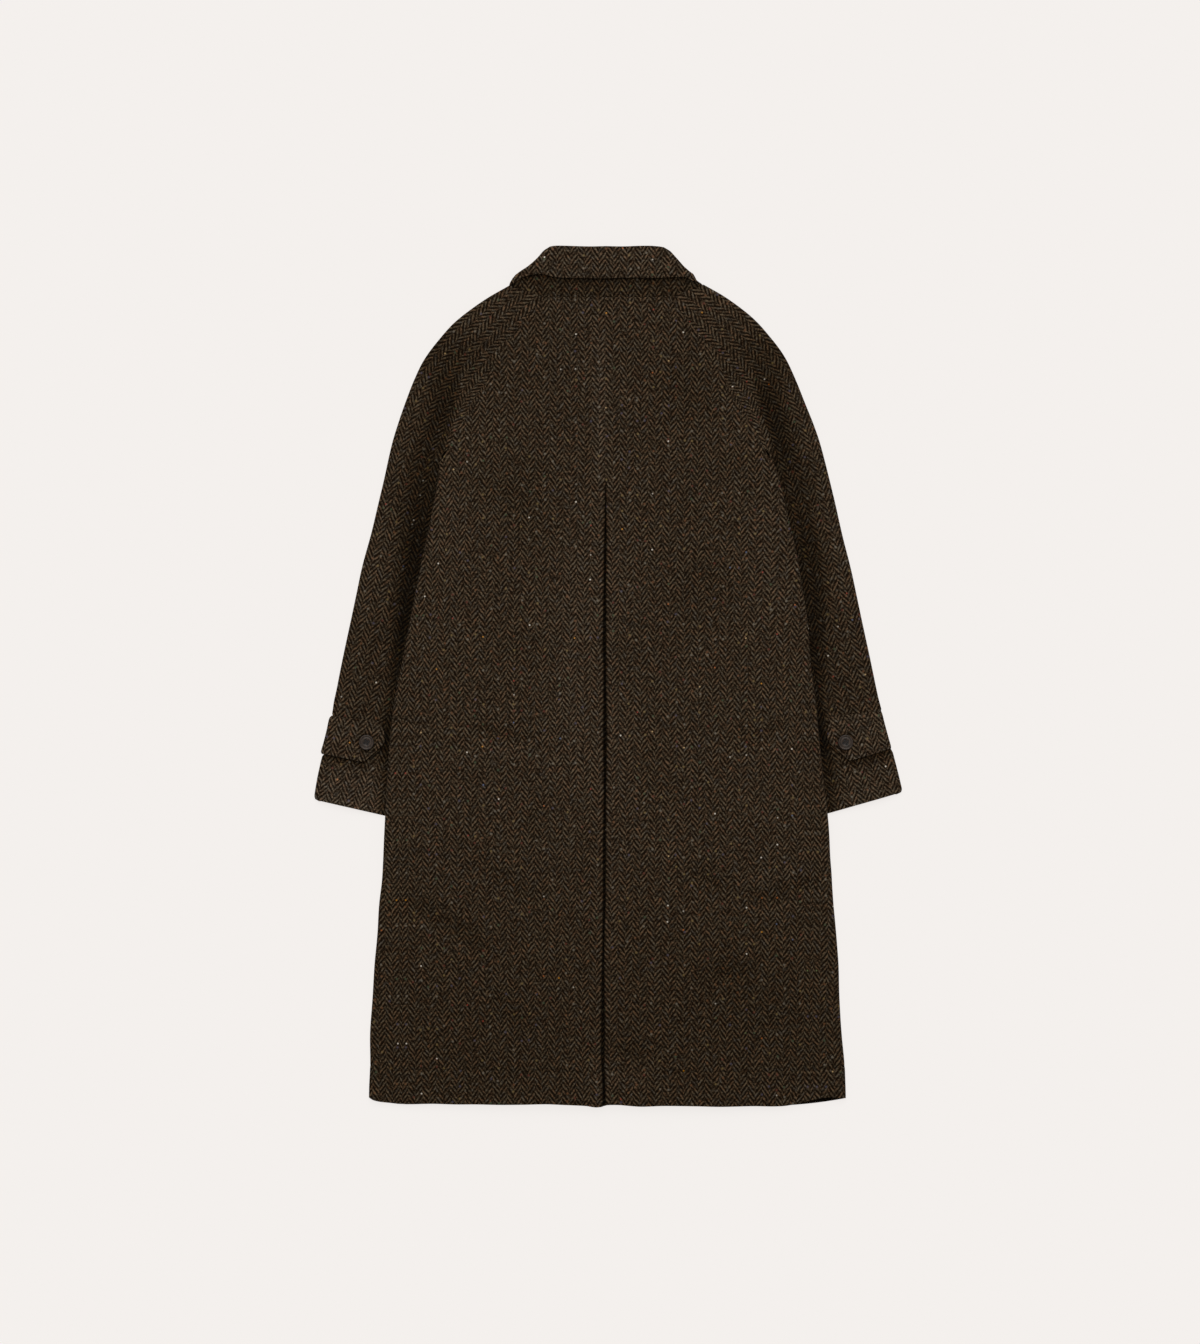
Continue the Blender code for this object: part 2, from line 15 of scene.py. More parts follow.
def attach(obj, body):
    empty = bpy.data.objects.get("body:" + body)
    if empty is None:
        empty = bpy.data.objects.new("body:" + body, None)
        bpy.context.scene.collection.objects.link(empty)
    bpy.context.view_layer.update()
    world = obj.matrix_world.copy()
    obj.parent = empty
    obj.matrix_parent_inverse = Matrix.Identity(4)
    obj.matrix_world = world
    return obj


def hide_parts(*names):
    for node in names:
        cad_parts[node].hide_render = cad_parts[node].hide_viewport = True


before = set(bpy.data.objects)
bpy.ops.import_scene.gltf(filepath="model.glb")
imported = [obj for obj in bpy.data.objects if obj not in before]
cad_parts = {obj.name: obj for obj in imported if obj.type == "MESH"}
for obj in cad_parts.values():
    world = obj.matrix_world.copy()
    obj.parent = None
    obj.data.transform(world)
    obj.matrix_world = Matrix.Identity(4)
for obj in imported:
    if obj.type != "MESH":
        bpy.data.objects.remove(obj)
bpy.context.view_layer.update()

MM = 0.001
MERGE = 1e-6
SHARP_ANGLE = math.radians(50)
SHORTEST = 1e-9

# Layers: the CAD walls are a layer apart, and the cloth here is a little thinner than they are
WALL = 2.0
SEAM = 0.3
LAYER = WALL + SEAM
CLOTH = 1.7
STRAP_CLOTH = 2.4

NECK_Y = 514.0
UNDERARM_Y = 294.0
HEM_Y = -585.0
ROLL_Y = 585.0

# Sleeve, from the neck to the cuff: inner edges of its back and front, outer edge, and fullness
SLEEVE = [  # place, y, back_x, front_x, edge_x, edge_y, loft
    (0, 514.0, 84.0, 84.0, 133.0, 531.0, 0.0),
    (1, 481.0, 113.0, 108.0, 167.0, 511.0, 1.0),
    (2, 454.0, 133.0, 122.0, 202.0, 484.0, 2.4),
    (3, 435.0, 147.0, 131.0, 226.0, 457.0, 3.8),
    (4, 413.0, 158.0, 140.0, 245.5, 430.0, 5.0),
    (5, 389.0, 166.0, 148.0, 259.0, 402.5, 6.2),
    (6, 366.0, 179.5, 155.0, 270.0, 375.0, 7.0),
    (7, 336.0, 201.0, 163.0, 280.0, 348.0, 7.6),
    (8, 309.0, 214.0, 169.0, 289.0, 321.0, 8.0),
    (9, 294.0, 222.0, 172.0, 296.0, 294.0, 8.4),
    (10, 250.0, 202.0, 178.0, 309.0, 239.5, 8.8),
    (11, 200.0, 186.0, 182.0, 321.0, 185.0, 9.0),
    (12, 145.0, 182.0, 182.0, 335.0, 131.0, 9.0),
    (13, 85.0, 180.0, 180.0, 347.0, 76.0, 8.8),
    (14, 30.0, 182.0, 182.0, 358.5, 22.0, 8.4),
    (15, -30.0, 190.0, 190.0, 369.0, -32.5, 7.2),
    (16, -92.0, 206.0, 206.0, 382.0, -87.0, 5.0),
    (17, -152.0, 230.0, 230.0, 394.0, -134.0, 5.0),
    (18, -201.0, 252.0, 252.0, 400.0, -157.5, 3.0),
]
SLEEVE_EDGE = sorted((row[5], row[4], row[6]) for row in SLEEVE)  # edge_y, edge_x, loft
RAGLAN = sorted(row[1:4] for row in SLEEVE if row[1] >= UNDERARM_Y)  # y, back_x, front_x of its seams
NECK_CORNER = Vector((RAGLAN[-1][1], NECK_Y))
NECK_DIP_PLACES = 0.2
SLEEVE_ROWS_EACH = 9
SLEEVE_COLUMNS = 40
SLEEVE_TURNS = 9
SLEEVE_ROUND = 4.0
SLEEVE_RETURN = 10.0
SLEEVE_RETURN_STEPS = 3
SLEEVE_CREST = 1.45
SLEEVE_SWELL = 1.3
SLEEVE_CREASE_EASE = (0.0, 0.25)
FRONT_SLEEVE_START = (0.3, 0.55)
FRONT_SLEEVE_END = (1.0, 0.85)
COVER_MARGIN = 2.0
SEAM_SLOPE = 18.0
SEAM_SLOPE_ROWS = (283.0, 292.0)
SEAM_UNDER_ROWS = (298.0, 290.0)
GRAIN_EASE = 3.0
GRAIN_STEPS = 8

EDGE_SHIFT = [  # y, how far out the sleeve's outer edge lies on the right, and on the left
    (-160.0, 3.2, -1.0),
    (-110.0, 2.9, -2.5),
    (-50.0, 2.2, -1.6),
    (-35.0, 1.2, -0.4),
    (-20.0, 0.8, -0.6),
    (25.0, 0.0, -1.0),
    (115.0, 0.0, -0.9),
    (160.0, 1.0, 0.2),
    (205.0, 0.8, -1.0),
    (260.0, 0.4, -1.7),
    (300.0, 0.0, -0.8),
    (345.0, -1.0, 0.0),
    (370.0, -2.0, 0.5),
    (415.0, -2.0, 0.8),
    (445.0, -1.0, 0.3),
    (475.0, -1.6, -1.0),
    (490.0, -1.3, -2.4),
    (520.0, -0.7, -4.0),
]

# Cuff, right and left: its outer corner is rounded, and hangs lower on the left
CUFF_START = 16.4
CUFF_DROP = {1: 2.4, -1: 12.0}
CUFF_IN = {1: 0.0, -1: 1.5}
CUFF_CORNER = 8.0

# The hollow in the sleeve that carries on the body's side fold up to the shoulder
HOLLOW = [  # y, x, depth, half_width
    (258.0, 236.0, 0.0, 15.0),
    (291.0, 231.0, 4.0, 15.0),
    (329.0, 223.0, 4.0, 15.0),
    (367.0, 213.5, 3.4, 15.0),
    (405.0, 204.0, 2.2, 16.0),
    (443.0, 199.0, 0.8, 17.0),
    (470.0, 196.0, 0.0, 18.0),
]

# Body: side fold, and the side seam's girth from it, over the back or, below nought, underneath
BODY = [  # y, fold_x, seam_girth
    (-585.0, 323.5, 47.5),
    (-522.0, 322.0, 46.0),
    (-400.0, 314.5, 38.5),
    (-290.0, 306.0, 30.0),
    (-252.0, 304.0, 28.0),
    (-215.0, 302.0, 26.0),
    (-140.0, 297.0, 21.0),
    (-67.0, 291.0, 15.0),
    (35.0, 277.0, 1.0),
    (103.0, 265.0, -8.0),
    (150.0, 255.5, -12.0),
    (200.0, 245.0, -12.0),
    (250.0, 235.0, -6.0),
    (294.0, 225.5, 3.0),
]
RIDGE = [  # y, how far the side fold stands up
    (-585.0, 1.0),
    (-420.0, 1.2),
    (-300.0, 2.2),
    (-200.0, 3.6),
    (-100.0, 4.2),
    (250.0, 4.2),
    (300.0, 3.0),
    (350.0, 0.0),
]
FOLD_SHIFT = [  # y, how far out the side fold lies on the right, and on the left
    (-570.0, 1.6, -2.0),
    (-535.0, 0.9, -2.7),
    (-490.0, -1.0, -0.4),
    (-440.0, -0.8, -0.7),
    (-390.0, 1.4, 0.0),
    (-350.0, 1.3, -0.8),
    (-310.0, 0.8, 0.0),
    (-275.0, 1.0, -1.6),
    (-245.0, 0.0, -2.0),
    (-195.0, 0.0, -1.4),
    (-130.0, -3.0, -0.3),
    (-80.0, -4.2, -0.4),
    (-30.0, -3.0, -0.5),
    (20.0, -2.5, -3.5),
    (70.0, 2.5, -5.0),
    (120.0, 4.0, -5.0),
    (170.0, 6.0, -5.0),
    (220.0, 4.5, -5.0),
    (265.0, 3.0, -4.0),
    (294.0, 0.0, 0.0),
]
FOLD_SHIFT_REACH = 70.0
SIDE_ROUND = 5.0
TOP_LIFT = 1.2
NECK_EASE = (514.0, 485.0)
FULLNESS = 1.4
SLOPE_SHARE = (0.2, 0.9)

# Inverted pleat at the centre back
PLEAT = [  # y, fold_x, return_width, drift of the gap
    (-585.0, 2.4, 60.0, -2.7),
    (-556.0, 2.0, 60.0, -2.9),
    (-522.0, 2.5, 60.0, -4.4),
    (-488.0, 2.7, 60.0, -4.1),
    (-400.0, 1.9, 60.0, -4.0),
    (-352.0, 1.6, 60.0, -3.4),
    (-305.0, 2.0, 60.0, -2.4),
    (-235.0, 2.2, 60.0, -2.2),
    (-148.0, 1.9, 60.0, -1.4),
    (-80.0, 2.6, 60.0, -1.4),
    (-12.0, 2.0, 60.0, -1.5),
    (56.0, 2.4, 60.0, -2.0),
    (124.0, 2.0, 60.0, -1.5),
    (185.0, 1.9, 60.0, -0.9),
    (212.0, 1.3, 60.0, -0.7),
    (250.0, 1.0, 20.0, -0.7),
    (266.0, 0.3, 0.0, -0.7),
    (280.0, 0.15, 0.0, -0.4),
]
PLEAT_OPEN = (272.0, 258.0)
PLEAT_ROUND = 2.2
DRIFT_REACH = 130.0
UNDERLAY_HALF = 68.0
UNDERLAY_TOP = 250.0
UNDERLAY_COLUMNS = 24

# What lifts a layer: the lap of the fronts, the pleat, the sleeve under the body, the collar's front leaf
LAP_HALF = 35.0
LAP_RAMP = (38.0, 70.0)
LAP_CLEAR = 20.0
EDGE_CLEAR = 30.0
MOUND_RAMP = (130.0, 77.0)
MOUND_LAYERS = 3.0
COLLAR_MOUND_LAYERS = 2.0
NECK_MOUND_LAYERS = 1.0
MOUND_FALL = (270.0, 430.0)
NECK_RAMP = (430.0, 482.0)
TUCK_RAMP = (0.27, 0.48)
TUCK_TOP = (366.0, 309.0)
TUCK_FOOT = (-290.0, -215.0)
TUCK_LAYERS = 2.0

# Seams sink a little, and the turned-up hem is thicker up to its stitched line
SEAM_DIP = 0.8
SEAM_REACH = 3.2
HEM_LINE = -538.0
HEM_STEP = (HEM_LINE + 1, HEM_LINE - 4)
HEM_THICKER = 0.7
HEM_DIP = 0.7
HEM_DIP_REACH = 2.4
HEM_RISE = [  # x, how far the hem lies above its lowest line
    (-324.0, 13.0),
    (-319.0, 9.4),
    (-310.0, 7.0),
    (-295.0, 5.4),
    (-280.0, 3.9),
    (-265.0, 3.6),
    (-235.0, 4.3),
    (-205.0, 3.6),
    (-175.0, 3.8),
    (-145.0, 3.3),
    (-115.0, 3.6),
    (-80.0, 4.3),
    (-55.0, 3.3),
    (-25.0, 1.9),
    (-12.0, 0.0),
    (-4.0, 0.6),
    (0.0, 2.0),
    (4.0, 3.0),
    (20.0, 3.2),
    (35.0, 1.9),
    (50.0, 1.0),
    (80.0, 2.0),
    (125.0, 1.4),
    (155.0, 0.6),
    (200.0, 1.3),
    (230.0, 0.8),
    (260.0, 2.4),
    (290.0, 5.6),
    (320.0, 10.4),
    (326.0, 12.0),
]
HEM_RISE_START = -400.0

# Bottom right corner, where the back's hem lifts off the front's
CORNER_LIFT = (238.0, 324.0)
CORNER_LIFT_UP = 3.4
CORNER_LIFT_IN = 6.5
CORNER_LIFT_LEAN = 1.6
CORNER_LIFT_ROWS = (-545.0, -585.0)
# Painted shadow on the front's hem under the lifted corner
CORNER_LIFT_SHADE = 0.85

# Creases: soft troughs, bowed sideways, that fade at both ends. A depth below nought is a ridge
CREASE_IN = (-0.35, 0.3)
CREASE_OUT = (1.35, 0.7)
BACK_CREASES = [  # x, y, to_x, to_y, bow, half_width, depth
    (-176.0, -68.0, -106.0, -84.0, 3.0, 10.0, 2.0),
    (-168.0, -105.0, -92.0, -107.0, -3.0, 11.0, -1.1),
    (-168.0, -250.0, -92.0, -304.0, 4.0, 13.0, 1.7),
    (-160.0, -284.0, -95.0, -328.0, 5.0, 13.0, -0.5),
    (-266.0, -306.0, -164.0, -372.0, -4.0, 12.0, 2.2),
    (-236.0, -345.0, -150.0, -402.0, -6.0, 14.0, -0.5),
    (178.0, -84.0, 240.0, -66.0, 5.0, 14.0, 1.3),
    (190.0, -112.0, 246.0, -98.0, 4.0, 12.0, -0.6),
    (108.0, -268.0, 165.0, -284.0, -4.0, 13.0, 1.6),
    (200.0, -302.0, 276.0, -276.0, 4.0, 10.0, 2.0),
    (200.0, -279.0, 270.0, -254.0, 4.0, 9.0, -0.7),
    (212.0, -326.0, 286.0, -304.0, 3.0, 9.0, -0.5),
    (146.0, -397.0, 202.0, -402.0, 3.0, 12.0, 1.6),
    (-150.0, -432.0, -108.0, -476.0, 3.0, 13.0, 1.6),
    (60.0, -150.0, 128.0, -172.0, -4.0, 16.0, 0.8),
    (-78.0, 24.0, -150.0, 40.0, 5.0, 17.0, 0.8),
    (96.0, 132.0, 176.0, 112.0, -6.0, 18.0, 0.4),
    (-96.0, 214.0, -196.0, 262.0, 8.0, 17.0, 0.8),
    (104.0, 232.0, 190.0, 286.0, -8.0, 16.0, 0.8),
    (-60.0, 420.0, -136.0, 384.0, 5.0, 16.0, 0.7),
    (70.0, 404.0, 150.0, 360.0, -6.0, 17.0, 0.8),
]
BACK_SWELLS = [  # broader and shallower: x, y, to_x, to_y, bow, half_width, depth
    (-40.0, 190.0, -42.0, -120.0, 3.0, 34.0, -0.75),
    (-8.0, 455.0, -6.0, 275.0, 0.0, 9.0, -1.4),
    (22.0, 190.0, 26.0, 90.0, 0.0, 22.0, -0.35),
    (215.0, 250.0, 228.0, 60.0, 3.0, 28.0, -0.5),
    (-212.0, 260.0, -218.0, 150.0, -3.0, 25.0, -0.5),
    (30.0, -60.0, 40.0, -190.0, 3.0, 24.0, -0.3),
    (-20.0, -545.0, 55.0, -545.0, 0.0, 21.0, -1.0),
    (-108.0, 300.0, -100.0, 190.0, 4.0, 34.0, 0.5),
    (95.0, 430.0, 105.0, 330.0, -4.0, 45.0, 0.5),
    (135.0, 160.0, 120.0, 60.0, 4.0, 30.0, 0.4),
    (62.0, -95.0, 66.0, -155.0, 2.0, 22.0, 0.4),
    (-100.0, -175.0, -100.0, -220.0, -2.0, 16.0, 0.5),
    (10.0, -505.0, 70.0, -508.0, 2.0, 13.0, 0.9),
    (120.0, -400.0, 255.0, -480.0, 0.0, 60.0, 0.5),
    (-130.0, -500.0, -260.0, -520.0, 0.0, 45.0, 0.3),
]
SLEEVE_CREASES = [  # x, y, to_x, to_y, bow, half_width, depth
    (-262.0, 212.0, -306.0, 190.0, 4.0, 11.0, 1.1),
    (-282.0, 88.0, -338.0, 112.0, -4.0, 13.0, 1.3),
    (-292.0, 40.0, -352.0, 26.0, 4.0, 10.0, 1.0),
    (-312.0, -28.0, -366.0, -12.0, 3.0, 11.0, 0.9),
    (-318.0, -150.0, -380.0, -128.0, 3.0, 9.0, 0.6),
    (256.0, 250.0, 300.0, 226.0, -4.0, 12.0, 1.0),
    (276.0, 134.0, 330.0, 148.0, 4.0, 12.0, 1.2),
    (288.0, 58.0, 348.0, 44.0, -5.0, 12.0, 1.3),
    (300.0, -14.0, 362.0, -34.0, -4.0, 10.0, 0.9),
    (316.0, -140.0, 384.0, -132.0, -3.0, 9.0, 0.6),
    (-190.0, 470.0, -226.0, 430.0, 4.0, 14.0, 0.9),
    (186.0, 468.0, 224.0, 424.0, -4.0, 14.0, 0.9),
]

# On the fronts and front sleeves, which lie on the floor, creases rise off it
FRONT_CREASES = [  # x, y, to_x, to_y, bow, half_width, depth
    (-110.0, 300.0, -160.0, 220.0, 6.0, 14.0, -1.2),
    (-96.0, 60.0, -214.0, 96.0, 8.0, 15.0, -1.3),
    (-120.0, -180.0, -226.0, -148.0, -7.0, 14.0, -1.2),
    (-90.0, -330.0, -180.0, -392.0, 6.0, 13.0, -1.1),
    (-170.0, -470.0, -262.0, -452.0, 5.0, 12.0, -0.8),
    (100.0, 320.0, 152.0, 246.0, -6.0, 13.0, -1.2),
    (92.0, -20.0, 196.0, 22.0, -8.0, 15.0, -1.3),
    (110.0, -230.0, 232.0, -196.0, 7.0, 14.0, -1.2),
    (128.0, -300.0, 240.0, -352.0, 7.0, 13.0, -1.0),
    (82.0, -440.0, 168.0, -478.0, -5.0, 12.0, -0.8),
    (-238.0, 180.0, -306.0, 150.0, 4.0, 12.0, -1.0),
    (-270.0, 34.0, -340.0, 52.0, -4.0, 12.0, -1.1),
    (-300.0, -90.0, -368.0, -70.0, 4.0, 10.0, -0.8),
    (236.0, 206.0, 300.0, 184.0, -4.0, 12.0, -1.0),
    (262.0, 84.0, 332.0, 66.0, 5.0, 12.0, -1.1),
    (292.0, -50.0, 360.0, -66.0, -4.0, 10.0, -0.8),
]

# Collar, a flattened ring: half width of its side, lower edges of its back and front, and its roll
COLLAR_SIDE = [  # y, half_width on the right, and on the left
    (531.0, 131.5, 131.5),
    (533.8, 127.3, 130.6),
    (536.5, 123.1, 128.9),
    (540.6, 121.4, 126.2),
    (543.3, 120.0, 124.0),
    (546.0, 117.8, 120.9),
    (548.8, 114.2, 117.3),
    (551.5, 109.8, 111.9),
    (564.5, 98.3, 96.3),
    (578.0, 86.7, 84.8),
    (585.0, 80.0, 79.0),
]
FALL_BACK_EDGE = [  # share of the half width, y on the right, and on the left
    (0.0, 539.5, 539.5),
    (0.3, 540.5, 540.0),
    (0.55, 540.0, 541.0),
    (0.75, 541.0, 545.3),
    (0.86, 541.4, 544.6),
    (0.94, 541.0, 541.0),
    (1.0, 536.5, 532.5),
]
FALL_FRONT_EDGE = [  # share of the half width, y on the right, and on the left
    (0.0, 490.0, 490.0),
    (0.5, 506.0, 506.0),
    (1.0, 525.5, 528.5),
]
ROLL_LINE = [  # share of the half width, y on the right, and on the left
    (0.0, 582.6, 582.6),
    (0.3, 582.2, 582.2),
    (0.6, 583.0, 582.8),
    (0.8, 583.0, 583.2),
    (0.9, 582.4, 583.2),
    (0.96, 581.8, 582.8),
    (1.0, 581.0, 582.0),
]
ROLL_SIDE_DROP = 4.2
COLLAR_MIDDLE = 2 * LAYER + WALL / 2
FALL_RISE = 2 * LAYER
STAND_RISE = LAYER
FALL_BULGE = 1.6
FALL_EDGE_LIFT = 0.6
FALL_EDGE_EASE = (0.0, 0.6)
ROLL_ROUND = 4.0
ROLL_RETURN = 8.0
COLLAR_BACK_COLUMNS = 64
COLLAR_FRONT_COLUMNS = 22
COLLAR_SIDE_TURNS = 10
FALL_ROWS = 14
ROLL_TURNS = 8
STAND_ROWS = 14
FRONT_GAP = 1.5
POINT_SPREAD = 20.0

# Cuff strap, from the outer edge of the sleeve inwards
STRAP_MIDDLE = {1: -73.0, -1: -80.0}
STRAP_DROP = {1: (0.2, -0.09), -1: (0.15, -0.044)}
STRAP_HALF = 25.5
STRAP_LENGTH = 79.5
STRAP_CLEAR = 2.5
STRAP_PINCH = 3.0
STRAP_PINCH_ROWS = (4.0, -3.0)
STRAP_END = [  # share of the half width, from the lower edge to the upper, and shortening of the end
    (-1.0, 24.0),
    (-0.93, 19.8),
    (-0.6, 12.6),
    (-0.3, 6.2),
    (-0.05, 1.2),
    (0.1, 0.0),
    (0.3, 1.6),
    (0.6, 4.6),
    (0.88, 7.8),
    (0.96, 9.6),
    (1.0, 13.0),
]
STRAP_ROWS = 27
STRAP_COLUMNS = 42
STRAP_TURNS = 5
STRAP_ROUND = 3.0
STRAP_OUT = [  # share of the half width, how far out the strap stands on the right, and on the left
    (-1.0, -1.6, 1.0),
    (-0.9, -0.8, 2.8),
    (-0.5, -1.1, 2.5),
    (0.3, -1.4, 2.1),
    (0.75, -1.3, 2.3),
    (0.92, -1.5, 1.5),
    (1.0, -2.2, -0.6),
]
STRAP_EDGE_DIP = 0.7
STRAP_EDGE_REACH = 0.12

# Painted shadow of the strap on the sleeve beside it, and painted light on the strap, right and left
STRAP_UNDER = 0.7
STRAP_UNDER_REACH = 6.0
STRAP_UNDER_FADE = (1.0, 0.2)
STRAP_LIGHT = {1: 1.14, -1: 1.07}

# Cuff button
BUTTON_X = 325.0
BUTTON_Y = -90.0
BUTTON_SEAT = 0.1
BUTTON_RADIUS = 10.4
BUTTON_PROFILE = [  # radius, height
    (0.0, 1.7),
    (3.4, 1.75),
    (4.6, 2.15),
    (5.6, 2.5),
    (6.5, 2.35),
    (7.2, 2.0),
    (7.9, 2.2),
    (8.5, 2.9),
    (9.2, 3.2),
    (9.9, 3.0),
    (10.35, 2.4),
    (BUTTON_RADIUS, 1.5),
    (9.9, 0.7),
    (8.8, 0.15),
    (7.5, 0.0),
    (0.0, 0.0),
]
# Painted shade and highlights of the button, by radius: dark in the middle, the groove and round the edge,
# pale on the inner ring and rim
BUTTON_TONE = [  # radius, tone
    (0.0, 0.5),
    (3.4, 0.75),
    (4.6, 1.2),
    (5.6, 1.45),
    (6.5, 1.7),
    (7.2, 0.9),
    (7.9, 1.05),
    (8.6, 1.9),
    (9.2, 1.5),
    (9.9, 0.5),
    (BUTTON_RADIUS, 0.2),
]
BUTTON_STEPS = 48
# Painted shadow round the button on the strap
BUTTON_SHADE = 0.3
BUTTON_SHADE_REACH = 3.0
HOLES = 4
HOLE_RADIUS = 1.45
HOLE_CIRCLE = 3.1
HOLE_TURN = 0.12
HOLE_SIDES = 16
HOLE_DEPTH = 4.0
PLUG_RADIUS = 1.3
PLUG_DEPTH = 1.2
PLUG_SINK = 0.15
THREAD_RADIUS = 0.32
THREAD_SINK = 0.6
THREAD_RISE = 0.4
THREAD_SIDES = 8
THREAD_STEPS = 10
STITCHES = 2

# Rows of the long panels: from, to, pitch
BODY_ROWS = [
    (514.0, 500.0, 1.8),
    (500.0, 312.0, 4.2),
    (312.0, 245.0, 2.0),
    (245.0, -530.0, 4.2),
    (-530.0, -546.0, 1.1),
    (-546.0, -585.0, 3.2),
]
UNDERLAY_ROWS = [(UNDERLAY_TOP, HEM_Y, 8.0)]
BACK_COLUMNS = 84
RETURN_COLUMNS = 10
PLEAT_TURNS = 8
FRONT_TURN_COLUMNS = 30
FRONT_TOP_COLUMNS = 24
FRONT_COLUMNS = 62
FRONT_SEAM_EASE = (8.0, 16.0)
FRONT_JOIN = (312.0, 294.0)
FRONT_WRAP = (296.0, 287.0)
PATH_STEPS = 80
FOLD_STEPS = 16
EDGE_PACKING = 0.72

# Where the weave starts on pieces whose stripes do not carry on from the back's
SLEEVE_WEAVE = 1900.0
STAND_WEAVE = 6.0
STRAP_WEAVE = (6.0, 700.0)

# Painted shade and light: the cloth's colour is darkened where shade falls beside the body's fold, over the
# shoulder, low on the sleeve, towards the hem, in troughs, along the hem's stitched line, in the pleat's
# gap and on the stand under the collar's fall, and lightened where light falls on ridges, the pleat's
# edges, the collar and the cuffs
VALLEY_RIGHT = [  # y, start from the fold outwards, flat width, reach of the rise, depth
    (-200.0, -3.0, 4.0, 12.0, 0.5),
    (-130.0, -3.0, 5.0, 15.0, 0.6),
    (-80.0, -4.5, 6.0, 3.5, 0.9),
    (-30.0, -3.0, 4.0, 9.0, 0.64),
    (20.0, -3.0, 8.0, 12.0, 0.66),
    (70.0, 2.0, 14.0, 10.0, 0.64),
    (120.0, 2.0, 20.0, 14.0, 0.58),
    (170.0, 5.0, 24.0, 14.0, 0.53),
    (220.0, 3.0, 16.0, 24.0, 0.47),
    (270.0, 3.0, 14.0, 34.0, 0.44),
    (310.0, 2.0, 10.0, 24.0, 0.54),
    (350.0, 0.0, 10.0, 24.0, 0.58),
    (390.0, 0.0, 12.0, 24.0, 0.5),
    (430.0, 4.0, 14.0, 30.0, 0.16),
    (470.0, 4.0, 14.0, 30.0, 0.0),
]
VALLEY_LEFT = [  # y, start from the fold outwards, flat width, reach of the rise, depth
    (-200.0, 0.0, 2.0, 6.0, 0.5),
    (-130.0, 0.0, 2.0, 6.0, 0.55),
    (-80.0, 0.0, 7.0, 6.0, 0.62),
    (-30.0, 0.0, 3.0, 8.0, 0.5),
    (20.0, -3.0, 5.0, 9.0, 0.74),
    (70.0, -4.0, 8.0, 13.0, 0.8),
    (120.0, -4.0, 13.0, 13.0, 0.74),
    (170.0, -4.0, 14.0, 18.0, 0.76),
    (220.0, -4.0, 14.0, 26.0, 0.68),
    (270.0, -5.0, 14.0, 34.0, 0.53),
    (310.0, -5.0, 20.0, 30.0, 0.42),
    (350.0, -6.0, 16.0, 22.0, 0.5),
    (390.0, -3.0, 14.0, 26.0, 0.46),
    (430.0, 0.0, 14.0, 30.0, 0.16),
    (470.0, 0.0, 14.0, 30.0, 0.0),
]
VALLEY_EDGE = 5.0
VALLEY_JOIN = (318.0, 280.0)
HEM_SHADE = 0.19
CREASE_SHADE = 0.11
SWELL_SHADE = 0.2
STITCH_SHADE = 0.2
STITCH_REACH = 1.8
HEM_SHADE_ROWS = (-140.0, -480.0)
PLEAT_LIGHT = 0.10
PLEAT_LIGHT_REACH = 12.0
GAP_SHADE = 0.12
GAP_REACH = 14.0
SHOULDER_SHADE = 0.24
SHOULDER_X = 205.0
SHOULDER_Y = 435.0
SHOULDER_REACH = 55.0
SHOULDER_ROWS = 38.0
LOWER_SLEEVE_SHADE = 0.1
LOWER_SLEEVE_ROWS = (130.0, 60.0)
STAND_SHADE = 0.24
FALL_SHADE = 0.4
FALL_SHADE_REACH = 9.0
COLLAR_LIGHT = 1.1
CUFF_LIGHT = {1: 0.24, -1: 0.4}
CUFF_LIGHT_ROWS = (-95.0, -150.0)


def smooth(value, start, end):
    """Ease from 0 at start to 1 at end."""
    share = min(max((value - start) / (end - start), 0.0), 1.0)
    return share * share * (3 - 2 * share)


def bell(distance, width):
    """A soft bump, 1 at its middle."""
    return math.exp(-((distance / width) ** 2))


def steepness(table, place, column):
    """Slope of a table's line at one of its rows."""
    before = table[max(place - 1, 0)]
    after = table[min(place + 1, len(table) - 1)]
    return (after[column] - before[column]) / (after[0] - before[0])


def read(table, key, column):
    """Read a column on a smooth line through a table's rows, by the first column, which rises."""
    if key <= table[0][0]:
        return table[0][column]
    if key >= table[-1][0]:
        return table[-1][column]
    place = bisect_right([row[0] for row in table], key) - 1
    low, high = table[place], table[place + 1]
    span = high[0] - low[0]
    share = (key - low[0]) / span
    leaving = steepness(table, place, column) * span
    arriving = steepness(table, place + 1, column) * span
    rise = high[column] - low[column]
    bend = (leaving - rise) * (1 - share) + (rise - arriving) * share
    return low[column] + share * rise + share * (1 - share) * bend


def spread(count):
    """Shares from 0 to 1 that stand closer at both ends."""
    shares = [place / (count - 1) for place in range(count)]
    return [share - EDGE_PACKING * math.sin(2 * math.pi * share) / (2 * math.pi) for share in shares]


def half_turn(x, round_x, high, low, steps, way=1):
    """Points of a fold from its upper to its lower layer, without its ends. x is its outermost place."""
    points = []
    for step in range(1, steps):
        angle = math.pi * (0.5 - step / steps)
        across = x - way * round_x + way * round_x * math.cos(angle)
        points.append((across, (high + low) / 2 + (high - low) / 2 * math.sin(angle)))
    return points


def lengths(path):
    """Distance along a path at each of its points."""
    places = [0.0]
    for before, after in zip(path, path[1:]):
        places.append(places[-1] + math.hypot(after[0] - before[0], after[1] - before[1]))
    return places


def at_length(path, places, place):
    """The point at a distance along a path."""
    low = min(max(bisect_right(places, place) - 1, 0), len(path) - 2)
    span = max(places[low + 1] - places[low], SHORTEST)
    share = min(max((place - places[low]) / span, 0.0), 1.0)
    before, after = path[low], path[low + 1]
    return tuple(a + share * (b - a) for a, b in zip(before, after))


